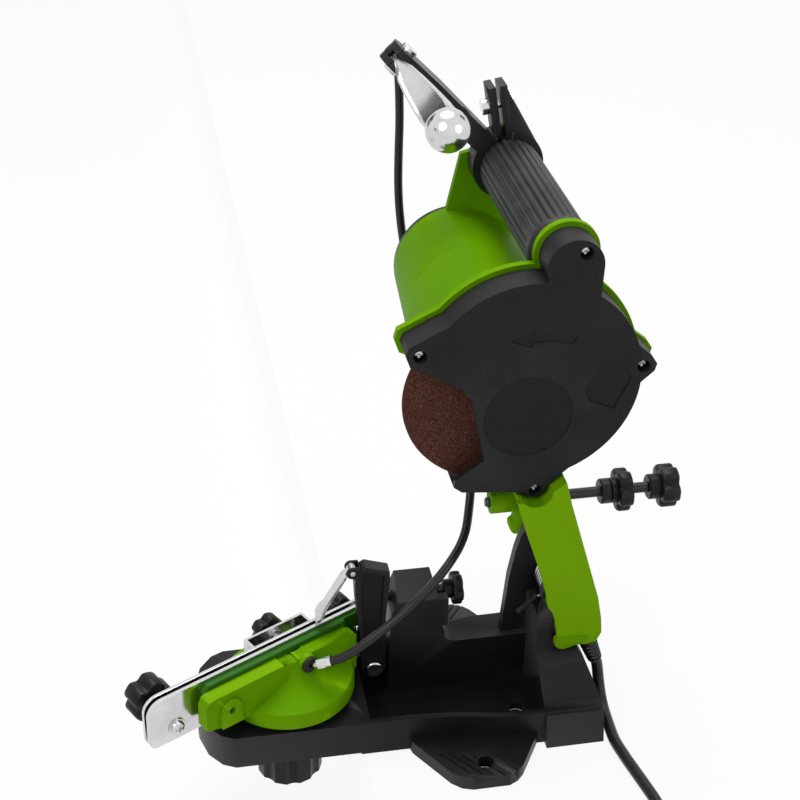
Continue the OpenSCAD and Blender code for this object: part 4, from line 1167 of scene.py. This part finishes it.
@dataclass
class Handle:
    """The rubber grip, the perch and the clamp's lever."""

    x: float = 42.0
    z: float = 279.0
    grip_radius: float = 17.0
    grip_start: float = 6.6
    grip_end: float = 114.3
    flutes: int = 26
    bore: float = 11.0
    lever_turn: float = 136.0
    lever_reach: float = 80.0
    lever_y: float = 136.0
    lever_len: float = 80.0
    ball: float = 11.5
    ear_turn: float = 100.0
    ring_y: tuple[float, float] = (114.7, 127.5)
    cap_arc: tuple[float, float] = (-25.0, 140.0)

    def on_lever(self) -> Matrix:
        """The lever's frame: X out from the handle, Z across it."""
        return self._turned(self.lever_turn)

    def _turned(self, degrees: float) -> Matrix:
        """A frame on the handle's axis, its X at an angle up from +X."""
        return Matrix.Translation((self.x, 0, self.z)) @ Matrix.Rotation(-math.radians(degrees), 4, "Y")

    def build(self, shop: Workshop) -> None:
        """Builds the handle's pieces.

        Args:
            shop: what dresses them.
        """
        shop.fit(self._grip(), Slot.GRIP, Body.HEAD, ("grip",), COIL_CREASE)
        shop.keep("handle_tube", Slot.STEEL)
        shop.rounded("lever_perch", Slot.KNOB, Body.HEAD, 0.9)
        shop.fit(self._ear_web(), Slot.KNOB, Body.HEAD, (), LUG_CREASE)
        shop.fit(self._clevis_cap(), Slot.KNOB, Body.HEAD, (), LUG_CREASE)
        shop.rounded("perch_bolt", Slot.CHROME, Body.HEAD, 0.4)
        shop.rounded("lever_pivot", Slot.CHROME, Body.HEAD, 0.5)
        shop.rounded("cable_adjuster", Slot.BLACK_STEEL, Body.HEAD, 0.3)
        shop.fit(self._lever(), Slot.CHROME, Body.LEVER, ("brake_lever",), LEVER_CREASE)

    def _clevis_cap(self) -> bpy.types.Object:
        """Builds the thin wall that closes the lever's slot round its outer end.

        Returns:
            The wall.
        """
        at = self.on_lever() @ Matrix.Translation((self.lever_reach, self.lever_y, 0))
        (first, last), steps, rings = self.cap_arc, 24, []
        wall = ((8.45, -2.4), (9.35, -2.4), (9.7, -1.6), (9.7, 1.6), (9.35, 2.4), (8.45, 2.4))
        for i in range(steps + 1):
            a = math.radians(first + (last - first) * i / steps)
            rings.append([at @ Vector((r * math.cos(a), r * math.sin(a), z)) for r, z in wall])
        return Skin().loft(rings).make("clevis_cap")

    def _ear_web(self) -> bpy.types.Object:
        """Builds the web that runs from the far ear's tip down to the clamp ring.

        Returns:
            The web.
        """
        at = self._turned(self.ear_turn) @ Matrix.Rotation(math.radians(-90), 4, "X")
        outline = [(44.5, 5.0), (45.7, 4.6), (7.4, 18.4), (4.5, 17.0), (11.0, 4.0), (40.0, 3.0)]
        low, high = self.ring_y
        rings, rim, seat = [], 0.9, 4.2
        for y, inset in ((low, rim), (low + rim, 0.0), (high - rim, 0.0), (high, rim)):
            pulled = [(x, z, inset if z > seat else 0.0) for x, z in outline]
            rings.append([at @ Vector((x - pull * 0.3, z - pull, y)) for x, z, pull in pulled])
        return Skin().loft(rings).make("perch_web")

    def _grip(self) -> bpy.types.Object:
        """Builds the grip with its rounded grooves.

        Returns:
            The grip.
        """
        per, rings = 10, []
        n = self.flutes * per
        depth, start, end, r = 0.95, self.grip_start, self.grip_end, self.grip_radius
        rows = [
            (start, self.bore + 0.05, 0), (start, r - 1.2, 0), (start + 0.5, r - 0.3, 0),
            (start + 1.2, r, 0), (start + 4.2, r, 0), (start + 5.2, r - 0.15, 0.9),
            (start + 7, r - 0.15, 1), ((start + end) / 2, r - 0.1, 1), (end - 7, r - 0.15, 1),
            (end - 4, r - 0.3, 0.9), (end - 1.5, r - 0.9, 0.6), (end - 0.3, r - 1.9, 0.3),
            (end, r - 3, 0), (end, self.bore + 0.05, 0),
        ]
        for y, radius, share in rows:
            ring = []
            for k in range(n):
                a, phase = TURN * k / n, (k % per) / per
                groove = max(0.0, math.cos(TURN * phase)) ** 1.4
                here = radius - share * depth * groove
                ring.append(Vector((self.x + here * math.cos(a), y, self.z + here * math.sin(a))))
            rings.append(ring)
        return Skin().loft(rings, closed=True).make("rubber_grip")

    def _lever(self) -> bpy.types.Object:
        """Builds the pressed blade that widens to its ball end.

        Returns:
            The lever.
        """
        at = self.on_lever()
        top, reach = self.lever_y, self.lever_reach
        skin = Skin()
        skin.lathe(
            [(2.6, -1.5), (7.6, -1.5), (8.0, -1.1), (8.0, 1.1), (7.6, 1.5), (2.6, 1.5)], 40,
            at @ Matrix.Translation((reach, top, 0)),
        )
        # Distance down the blade, then its inner and outer face, half width, flange and channel depth
        rows = [
            (-1.0, -7.0, 5.6, 1.5, 0.0), (4.0, -8.6, 7.2, 1.5, 0.2), (9.0, -8.9, 7.8, 1.5, 0.6),
            (14.0, -8.6, 7.2, 1.6, 1.2), (20.0, -7.4, 6.0, 3.4, 2.2), (28.0, -5.8, 4.2, 5.6, 2.8),
            (38.0, -8.0, 1.2, 6.9, 2.8), (48.0, -10.6, -1.8, 7.8, 2.6), (57.0, -13.4, -4.4, 8.5, 2.2),
            (64.0, -15.6, -6.2, 8.8, 1.4), (70.0, -16.6, -7.8, 8.2, 0.4),
        ]
        rings = []
        for down, inner, outer, half, dish in rows:
            y = top - down
            lip = min(1.3, half * 0.45)
            section = [
                (inner, -half + 0.5), (inner + 0.6, -half), (outer - 0.6, -half), (outer, -half + 0.4),
                (outer, -half + lip), (outer - dish, -half + lip + 0.4), (outer - dish * 1.05, 0.0),
                (outer - dish, half - lip - 0.4), (outer, half - lip), (outer, half - 0.4),
                (outer - 0.6, half), (inner + 0.6, half), (inner, half - 0.5), (inner - 0.1, 0.0),
            ]
            rings.append([at @ Vector((reach + x, y, z)) for x, z in section])
        skin.loft(rings)
        # Ball with the shallow dimple that its outer end shows
        ball_at = at @ Matrix.Translation((reach - 13, top - self.lever_len, 0))
        tilt = ball_at @ Vector((0.55, -0.55, 0.6)).to_track_quat("Z", "Y").to_matrix().to_4x4()
        profile = []
        for i in range(33):
            a = -math.pi / 2 + math.pi * i / 32
            r, z = self.ball * math.cos(a), self.ball * math.sin(a)
            near = max(0.0, 1 - r / 4.4) if z > 0 else 0.0
            profile.append((r, z - 1.5 * near * near * (3 - 2 * near)))
        return skin.lathe(profile, 56, tilt).make("clamp_lever")


@dataclass
class Guard:
    """Wheel cover and its screws."""

    front: float = -14.0
    screws: Pairs = ((49, 287), (-32, 236.5), (31.5, 150.5), (84, 221))
    hub: tuple[float, float] = (26.0, 215.5)
    back_radius: float = 57.3
    corner_x: tuple[float, float] = (16.0, 34.0)
    corner_z: float = -44.0
    screw_sink: float = 6.0

    def build(self, shop: Workshop) -> None:
        """Builds the guard's pieces.

        Args:
            shop: what dresses them.
        """
        self._trim(shop.rounded("guard", Slot.GUARD, Body.HEAD, 1.6, "wheel_guard"))
        for i, (x, z) in enumerate(self.screws):
            at = along("-y", x, self.front + self.screw_sink, z)
            head = CrossHead(3.2, 2.6).build(f"guard_screw_{i + 1}", at)
            shop.fit(head, Slot.CHROME, Body.HEAD, ("guard_screws",) if i == 0 else ())

    def _trim(self, cover: bpy.types.Object) -> None:
        """Draws the cover's lower corner in to its round back.

        Args:
            cover: the guard's piece.
        """
        (hub_x, hub_z), (left, right) = self.hub, self.corner_x
        for vertex in cover.data.vertices:
            x, z = vertex.co.x / MM - hub_x, vertex.co.z / MM - hub_z
            away = math.hypot(x, z)
            if left < x < right and z < self.corner_z and away > self.back_radius:
                share = self.back_radius / away
                vertex.co.x, vertex.co.z = (hub_x + x * share) * MM, (hub_z + z * share) * MM


@dataclass
class MotorBody:
    """Green barrel and arm, end cover, switch and the strain relief."""

    relief: Point = (67.0, -12.0, 48.0)
    relief_tilt: float = 158.5
    relief_len: float = 20.4
    barrel_at: tuple[float, float] = (18.5, 211.5)
    barrel_y: tuple[float, float] = (6.3, 133.0)
    barrel_r: tuple[float, float] = (46.0, 36.0)
    seam_sunk: float = 0.06
    seam_radius: float = 0.3
    seam_y: float = 78.5
    seam_turns: tuple[float, float] = (108.5, 116.0)
    foot_y: tuple[float, float] = (-20.8, -17.0)
    pad_y: tuple[float, float] = (-9.0, -3.0)
    foot: Pairs = (
        (51.5, 54.0), (49.0, 53.6), (47.4, 51.6), (47.5, 48.4), (49.0, 46.0), (51.8, 44.8),
        (55.2, 45.4), (59.0, 46.6), (63.0, 47.6), (66.4, 49.8), (66.6, 52.6), (60.0, 53.6),
    )
    pad: Pairs = (
        (22.0, 133.0), (22.4, 128.6), (20.4, 126.4), (20.6, 122.8), (22.2, 120.0), (24.2, 119.0),
        (26.2, 121.2), (27.6, 126.3), (29.0, 131.0), (27.0, 134.0),
    )

    def build(self, shop: Workshop) -> None:
        """Builds the housing's pieces.

        Args:
            shop: what dresses them.
        """
        shop.rounded("motor_housing", Slot.GREEN, Body.HEAD, 1.0, "green_housing")
        shop.rounded("arm", Slot.GREEN, Body.HEAD, 1.2, "swing_arm")
        shop.rounded("rear_cover", Slot.KNOB, Body.HEAD, 0.6, "end_cover")
        shop.rounded("power_switch", Slot.SWITCH, Body.SWITCH, 0.5, "rocker")
        shop.fit(self._relief(), Slot.LEAD, Body.HEAD, ("strain_relief",))
        shop.fit(self._seams(), Slot.GREEN, Body.HEAD)
        shop.fit(self._foot(), Slot.GREEN, Body.HEAD, (), LUG_CREASE)
        shop.fit(self._pad(), Slot.GREEN, Body.HEAD, (), LUG_CREASE)

    def _cushion(self, name: str, outline: Pairs, span: tuple[float, float]) -> bpy.types.Object:
        """A lug with a smooth outline and rounded rims.

        Args:
            name: the piece's name.
            outline: its corners as X and Z.
            span: its near and its far face.

        Returns:
            The lug.
        """
        loop = smoothed([(x, 0, z) for x, z in [*outline, outline[0]]], 5)[:-1]
        centre = sum(loop, Vector()) / len(loop)
        ways = [(p, (p - centre).normalized()) for p in loop]
        (near, far), rings = span, []
        for y, inset in ((near, 1.1), (near + 0.35, 0.35), (near + 1.1, 0.0), (far, 0.0)):
            rings.append([Vector((p.x - way.x * inset, y, p.z - way.z * inset)) for p, way in ways])
        return Skin().loft(rings).make(name)

    def _foot(self) -> bpy.types.Object:
        """The low rounded foot on the arm's near cheek."""
        return self._cushion("arm_foot", self.foot, self.foot_y)

    def _pad(self) -> bpy.types.Object:
        """The rounded stop pad below the depth screw's boss."""
        return self._cushion("stop_pad", self.pad, self.pad_y)

    def _on_barrel(self, degrees: float, y: float) -> Vector:
        """A point of the barrel's surface.

        Args:
            degrees: its direction from the axis, up from +X.
            y: its place along the axis.

        Returns:
            The point.
        """
        (front, back), (wide, narrow) = self.barrel_y, self.barrel_r
        r = wide + (y - front) / (back - front) * (narrow - wide) - self.seam_sunk
        a = math.radians(degrees)
        return Vector((self.barrel_at[0] + r * math.cos(a), y, self.barrel_at[1] + r * math.sin(a)))

    def _seams(self) -> bpy.types.Object:
        """Builds the fine raised lines that the mould left on the barrel.

        Returns:
            The seams.
        """
        (near, far), skin = self.seam_turns, Skin()
        lines = [
            [self._on_barrel(near, y) for y in range(8, 78, 3)],
            [self._on_barrel(far, y) for y in range(80, 124, 3)],
            [self._on_barrel(a, self.seam_y) for a in range(104, 152, 3)],
        ]
        for line in lines:
            skin.tube(line, self.seam_radius, 8)
        return skin.make("barrel_seams")

    def _relief(self) -> bpy.types.Object:
        """Builds the ribbed, tapered sleeve round the lead.

        Returns:
            The sleeve.
        """
        at = Matrix.Translation(self.relief) @ Matrix.Rotation(math.radians(self.relief_tilt), 4, "Y")
        profile = [(0, -6), (4.1, -6), (4.1, 1.6), (5.6, 1.6), (6, 2), (6, 3.6), (5.6, 4), (5.35, 4.1)]
        for k in range(5):
            low, r = 5.2 + 2.9 * k, 5.3 - 0.22 * k
            profile += [(r, low), (r + 0.02, low + 1.2), (r - 0.25, low + 1.5)]
            profile += [(r - 0.85, low + 1.6), (r - 0.85, low + 2.4)]
        tip = self.relief_len
        profile += [(4.25, 19.6), (4.1, tip), (3.3, tip), (0, tip - 0.6)]
        return Skin().lathe(profile, 40, at).make("cord_sleeve")


@dataclass
class Grinder:
    """Wheel with its flanges and nut, and the motor's inside."""

    x: float = 12.0
    z: float = 202.0
    radius: float = 50.0
    thick: float = 3.2
    bore: float = 5.0

    def build(self, shop: Workshop) -> None:
        """Builds the turning pieces and dresses the motor's inside.

        Args:
            shop: what dresses them.
        """
        half, r, b = self.thick / 2, self.radius, self.bore
        rim = [
            (b, -half), (14, -half), (r - 5, -half), (r - 1.0, -half), (r - 0.3, -half + 0.35),
            (r, -half + 1.0), (r, half - 1.0), (r - 0.3, half - 0.35), (r - 1.0, half), (r - 5, half),
            (14, half), (b, half),
        ]
        at = along("+y", self.x, 0, self.z)
        rings = [[at @ v for v in circle(radius, y, 128)] for radius, y in rim]
        wheel = Skin().loft(rings, closed=True).make("grinding_disc")
        shop.fit(wheel, Slot.WHEEL, Body.ROTOR, ("grinding_wheel",))
        shop.rounded("wheel_flanges", Slot.STEEL, Body.ROTOR, 0.4)
        shop.rounded("spindle_nut", Slot.STEEL, Body.ROTOR, 0.4)
        inside = {
            "spindle": Slot.STEEL, "armature": Slot.CORE, "commutator": Slot.COPPER,
            "cooling_fan": Slot.KNOB, "stator": Slot.COPPER, "brush_holders": Slot.CORE,
            "bearings": Slot.STEEL,
        }
        for node, slot in inside.items():
            shop.keep(node, slot)


@dataclass
class DepthStop:
    """Threaded rod through the arm, with its lock knob and turning knob."""

    y: float = 8.0
    z: float = 130.0
    start: float = 10.5
    end: float = 115.0
    lock_x: float = 74.5
    knob_x: float = 102.0

    def build(self, shop: Workshop) -> None:
        """Builds the rod and its knobs.

        Args:
            shop: what dresses them.
        """
        spots = (self.start, self.lock_x, self.knob_x)
        rod, lock, knob = (along("+x", x, self.y, self.z) for x in spots)
        length = self.end - self.start
        ScrewThread().fit(
            shop, "depth_rod", length, rod, Slot.BLACK_STEEL, Body.DEPTH_ROD, ("depth_screw",)
        )
        LobedKnob(12, 17, 7, 9, 3.1, groove=5.6).fit(
            shop, "depth_lock", lock, Body.DEPTH_LOCK, "depth_lock_knob"
        )
        LobedKnob(12, 16, 7, 6, 3.1).fit(shop, "depth_handle", knob, Body.DEPTH_HANDLE, "depth_knob")


# ---------------------------------------------------------------- base, stop and vise


@dataclass
class Base:
    """Bench casting with its hinge pin and return spring."""

    pivot: tuple[float, float] = (52.0, 80.0)
    fork_in: float = 9.0
    spring_radius: float = 10.5
    wire: float = 1.0
    turns: int = 5
    margin: float = 1.6
    sleeve: Point = (-23.5, -15.6, 10.6)
    sleeve_radius: float = 1.35

    def build(self, shop: Workshop) -> None:
        """Builds the base's pieces.

        Args:
            shop: what dresses them.
        """
        shop.rounded("base_frame", Slot.BASE, Body.BASE, 1.4, "bench_casting")
        shop.rounded("hinge_pin", Slot.STEEL, Body.BASE, 0.5)
        shop.fit(self._spring(), Slot.STEEL, Body.BASE, ("return_spring",), COIL_CREASE)
        shop.fit(self._leg(), Slot.KNOB, Body.BASE, (), COIL_CREASE)

    def _leg(self) -> bpy.types.Object:
        """Builds the sleeve on the leg that the spring rests on the base.

        Returns:
            The sleeve.
        """
        # X and Z from the pivot, and how far it rises both ways
        left, low, rise = self.sleeve
        x, y, z = self.pivot[0] + left, self.margin - self.fork_in, self.pivot[1] + low
        steps = [rise * i / 6 for i in range(7)]
        path = [Vector((x + step, y, z + step)) for step in steps]
        return Skin().tube(path, self.sleeve_radius, 16).make("spring_sleeve")

    def _spring(self) -> bpy.types.Object:
        """Builds one unbroken wire: a leg on the base and the coil.

        Returns:
            The spring.
        """
        (x, z), r, per, start = self.pivot, self.spring_radius, 24, self.margin - self.fork_in
        pitch = -2 * start / (self.turns + 0.6)
        path = [Vector((x - r - 12.6, start, z - 15.2)), Vector((x - r - 4, start, z - 6.6))]
        for i in range(per * self.turns + per // 2 + 1):
            a = math.radians(205) + TURN * i / per
            y = start + pitch * (i / per + 1 / 16)
            path.append(Vector((x + r * math.cos(a), y, z + r * math.sin(a))))
        return Skin().tube(path, self.wire, 10).make("hinge_spring")


@dataclass
class ChainStop:
    """Upright that holds the chain's tooth, and the screw that tilts it."""

    screw_y: float = 20.0
    screw_z: float = 64.0
    rod_x: float = -43.7
    rod_len: float = 42.7
    knob_x: float = -8.6

    def build(self, shop: Workshop) -> None:
        """Builds the stop's pieces.

        Args:
            shop: what dresses them.
        """
        shop.rounded("stop_carrier", Slot.BASE, Body.STOP, 0.9, "stop_upright")
        shop.rounded("stop_pawl", Slot.CHROME, Body.PAWL, 0.35, "tooth_pawl")
        shop.rounded("pawl_pin", Slot.STEEL, Body.STOP, 0.3)
        shop.rounded("stop_pivot_bolt", Slot.CHROME, Body.BASE, 0.9)
        rod, knob = (along("+x", x, self.screw_y, self.screw_z) for x in (self.rod_x, self.knob_x))
        ScrewThread().fit(
            shop, "stop_rod", self.rod_len, rod, Slot.BLACK_STEEL, Body.STOP_ROD, ("stop_screw",)
        )
        LobedKnob(9.5, 11, 5.5, 5, 3.06).fit(shop, "stop_handle", knob, Body.STOP_HANDLE, "stop_knob")


@dataclass
class Vise:
    """Turntable, rails, their bolts and knobs, and the cable's end."""

    x: float = -100.0
    turn: float = 28.0
    rail_v: float = 3.2
    bolts: Pairs = ((-73.5, 37.0), (46.5, 44.0))
    knob_v: float = 3.5
    clamp_u: float = 3.0
    clamp_z: float = 47.0
    clamp_rod: float = 17.5
    bracket_v: float = 12.0
    bracket_thick: float = 1.8
    coil_radius: float = 4.4
    wire: float = 0.6

    def place(self) -> Matrix:
        """The vise's own frame: X along the rails."""
        return Matrix.Translation((self.x, 0, 0)) @ Matrix.Rotation(math.radians(self.turn), 4, "Z")

    def across(self, u: float, v: float, z: float) -> Matrix:
        """A frame at a point of the vise, its Z across the rails."""
        return self.place() @ along("+y", u, v, z)

    def build(self, shop: Workshop) -> None:
        """Builds the vise's pieces.

        Args:
            shop: what dresses them.
        """
        shop.rounded("vise_body", Slot.GREEN, Body.VISE, 1.3, "vise_casting")
        shop.rounded("near_rail", Slot.CHROME, Body.VISE, 0.3)
        shop.rounded("far_rail", Slot.CHROME, Body.MOVING_RAIL, 0.3)
        shop.rounded("jaw_strip", Slot.DEEP_GREEN, Body.VISE, 0.4)
        shop.rounded("clamp_bracket", Slot.CHROME, Body.VISE, 0.3)
        shop.rounded("cable_grommet", Slot.GRIP, Body.VISE, 0.5)
        shop.rounded("cable_ferrule", Slot.CHROME, Body.VISE, 0.3)
        shop.rounded("turntable_bolt", Slot.STEEL, Body.VISE, 0.5)
        shop.rounded("lock_knob", Slot.KNOB, Body.TABLE_LOCK, 1.2)
        self._bolts(shop)
        self._knobs(shop)
        self._spring(shop)

    def _bolts(self, shop: Workshop) -> None:
        """Builds the rails' bolts with cross heads and washers.

        Args:
            shop: what dresses them.
        """
        for (u, z), r, end, name in zip(self.bolts, (5.0, 4.0), (27, 17), ("end_bolt", "tail_bolt")):
            at = self.place() @ along("-y", u, -self.rail_v - 0.9, z)
            head = CrossHead(r * 0.78, 2.2, r).build(name, at)
            shop.fit(head, Slot.CHROME, Body.VISE, ("rail_bolts",) if name == "end_bolt" else ())
            at = self.across(u, -self.rail_v, z)
            M5_ROD.fit(shop, f"{name}_shank", end + self.rail_v, at, Slot.STEEL, Body.VISE)

    def _knobs(self, shop: Workshop) -> None:
        """Builds the three knobs behind the rails.

        Args:
            shop: what dresses them.
        """
        end, tail = (self.across(u, self.knob_v, z) for u, z in self.bolts)
        LobedKnob(12.5, 28.5, 5.5, 15.5, 2.56).fit(shop, "end_handle", end, Body.END_HANDLE, "end_knob")
        LobedKnob(10, 18, 5, 8, 2.56).fit(shop, "tail_handle", tail, Body.TAIL_HANDLE, "tail_knob")
        at = self.across(self.clamp_u, self.bracket_v + self.bracket_thick, self.clamp_z)
        LobedKnob(9.5, 13, 5, 5, 2.4).fit(shop, "clamp_handle", at, Body.CLAMP_HANDLE, "clamp_knob")
        at = self.across(self.clamp_u, self.knob_v, self.clamp_z)
        M5_ROD.fit(shop, "clamp_rod", self.clamp_rod, at, Slot.STEEL, Body.CLAMP_HANDLE)

    def _spring(self, shop: Workshop) -> None:
        """Builds the push spring round the clamp's screw.

        Args:
            shop: what dresses it.
        """
        turns, first, per, r = 3, self.rail_v + 1.1, 24, self.coil_radius
        pitch = (self.bracket_v - first - 1) / (turns + 0.5)
        path = []
        for i in range(per * turns + 1):
            a, y = TURN * i / per, first + pitch * (0.25 + i / per)
            point = Vector((self.clamp_u + r * math.cos(a), y, self.clamp_z + r * math.sin(a)))
            path.append(self.place() @ point)
        spring = Skin().tube(path, self.wire, 8).make("clamp_coil")
        shop.fit(spring, Slot.STEEL, Body.VISE, ("clamp_spring",), COIL_CREASE)


# ---------------------------------------------------------------- studio


@dataclass
class Studio:
    """Camera, lamps, bench and the white surroundings."""

    camera_at: Point = (-174.3, -677.8, 628.1)
    right: Point = (0.9825, -0.1858, 0.0166)
    up: Point = (0.0832, 0.5161, 0.8525)
    back: Point = (-0.1669, -0.8361, 0.5225)
    lens: float = 72.0
    bench_edge: float = -62.0
    drop: float = -60.0
    white_share: float = 0.9
    soft: float = 0.25
    # Spots under the base's through-holes, where discs of painted shade lie on the bench
    shade_disc_spots: Pairs = ((0.0, -62.0), (0.0, 62.0), (28.0, -20.0))
    shade_disc_radius: float = 4.4

    def build(self) -> None:
        """Builds the camera, then the light and the bench."""
        self._camera()
        self._lamps()
        self._world()
        self._bench()
        self._cards()

    def _cards(self) -> None:
        """Stands dark cards, unseen themselves, where the bright metal mirrors them."""
        aim = Vector((-20.0, 100.0, 320.0))
        cards = {
            "card_left": ((-760.0, 1150.0, 560.0), 330.0, 760.0),
            "card_low": ((-1150.0, -120.0, 420.0), 120.0, 420.0),
            "card_right": ((1100.0, 700.0, 900.0), 160.0, 520.0),
        }
        shader = Shader("card_black")
        spots = shader.ramp(shader.noise(2.2), (0.4, 0.0), (0.62, 1.0))
        tone = shader.mix(spots, (0.02, 0.02, 0.02), (0.32, 0.32, 0.32))
        shader.finish(Base_Color=tone, Roughness=0.9)
        for name, (at, wide, tall) in cards.items():
            way = (aim - Vector(at)).to_track_quat("Z", "Y").to_matrix().to_4x4()
            outline = oblong(-wide, -tall / 2, wide, tall / 2)
            card = Skin().slab(outline, 0.0, 4.0, Matrix.Translation(at) @ way).make(name)
            card.data.materials.append(shader.owner)
            card.visible_camera = False

    def _camera(self) -> None:
        """Places the camera at the photograph's view."""
        data = bpy.data.cameras.new("camera")
        data.lens, data.sensor_width, data.sensor_fit = self.lens, 36.0, "HORIZONTAL"
        data.clip_start, data.clip_end = 0.01, 50.0
        camera = bpy.data.objects.new("camera", data)
        turn = Matrix((self.right, self.up, self.back)).transposed().to_4x4()
        camera.matrix_world = Matrix.Translation(Vector(self.camera_at) * MM) @ turn
        bpy.context.scene.collection.objects.link(camera)
        bpy.context.scene.camera = camera

    def _lamps(self) -> None:
        """Hangs three broad soft boxes."""
        aim = Vector((-0.02, 0.03, 0.17))
        lamps = {
            "key": ((-1.0, -0.9, 1.35), 1.1, 8.0),
            "fill": ((1.1, -0.9, 0.8), 1.0, 2.6),
            "top": ((0.0, 0.55, 1.7), 1.2, 21.0),
        }
        for name, (at, size, power) in lamps.items():
            data = bpy.data.lights.new(name, "AREA")
            data.shape, data.size, data.energy = "DISK", size, power
            lamp = bpy.data.objects.new(name, data)
            lamp.location = at
            lamp.rotation_euler = (aim - Vector(at)).to_track_quat("-Z", "Y").to_euler()
            bpy.context.scene.collection.objects.link(lamp)

    def _seen(self, shader: Shader) -> Val:
        """1 for rays that show the surroundings themselves.

        Args:
            shader: the tree that asks.

        Returns:
            The mask.
        """
        kinds = ("Camera", "Glossy", "Transmission")
        rays = [shader.add("ShaderNodeLightPath", out=f"Is {kind} Ray") for kind in kinds]
        clamped = {"operation": "ADD", "use_clamp": True}
        both = shader.add("ShaderNodeMath", clamped, {0: rays[0], 1: rays[1]})
        return shader.add("ShaderNodeMath", clamped, {0: both, 1: rays[2]})

    def _world(self) -> None:
        """Lights the scene softly, and shows white behind it."""
        shader = Shader("world", world=True)
        soft, shown = (
            shader.add("ShaderNodeBackground", None, {"Color": WHITE, "Strength": strength})
            for strength in (self.soft, 1.0)
        )
        both = shader.add("ShaderNodeMixShader", None, {0: self._seen(shader), 1: soft, 2: shown})
        bpy.context.scene.world = shader.close(both)
        bpy.context.scene.view_settings.view_transform = "Standard"

    def _bench(self) -> None:
        """Lays the bench, its edge just behind the lock knob, discs of painted shade under the base's
        holes, and the floor.
        """
        shader = Shader("bench_white")
        cloud = shader.noise(3.0, 2.0)
        tone = shader.mix(cloud, (0.92, 0.92, 0.92), (0.96, 0.96, 0.96))
        plain = shader.add("ShaderNodeBsdfDiffuse", None, {"Color": tone})
        white = shader.add("ShaderNodeEmission", None, {"Color": WHITE, "Strength": 1.0})
        share = self._seen(shader) * self.white_share
        shader.close(shader.add("ShaderNodeMixShader", None, {0: share, 1: plain, 2: white}))
        reach, drop = 4000.0, self.drop
        bench = Skin().slab(oblong(self.bench_edge, -reach, reach, reach), drop, 0.0)
        floor = Skin().slab(oblong(-reach, -reach, reach, reach), drop - 5, drop)
        for name, skin in {"bench": bench, "floor": floor}.items():
            thing = skin.make(name)
            thing.data.materials.append(shader.owner)
        # Dark discs under the base's through-holes: painted shade, so the holes read dark instead of
        # showing the white bench
        dark = Shader("painted_hole_shade")
        tone = dark.mix(dark.noise(400.0), (0.004, 0.004, 0.004), (0.012, 0.011, 0.01))
        dark.finish(Base_Color=tone, Roughness=0.9)
        shade_discs, r = Skin(), self.shade_disc_radius
        for x, y in self.shade_disc_spots:
            shade_discs.lathe([(0, 0.02), (r, 0.02), (r, 0.05), (0, 0.05)], 32, along("+z", x, y, 0))
        thing = shade_discs.make("hole_shade_discs")
        thing.data.materials.append(dark.owner)


def main() -> None:
    """Builds the camera and the leads first, then each sub-assembly."""
    logging.basicConfig(level=logging.INFO, format="%(name)s: %(message)s")
    shop = Workshop()
    Studio().build()
    for part in (
        MainsLead(), ClampCable(), Handle(), Guard(), MotorBody(), Grinder(), DepthStop(), Base(),
        ChainStop(), Vise(),
    ):
        part.build(shop)
        LOG.info("%s is built", type(part).__name__)


if __name__ == "__main__":
    main()
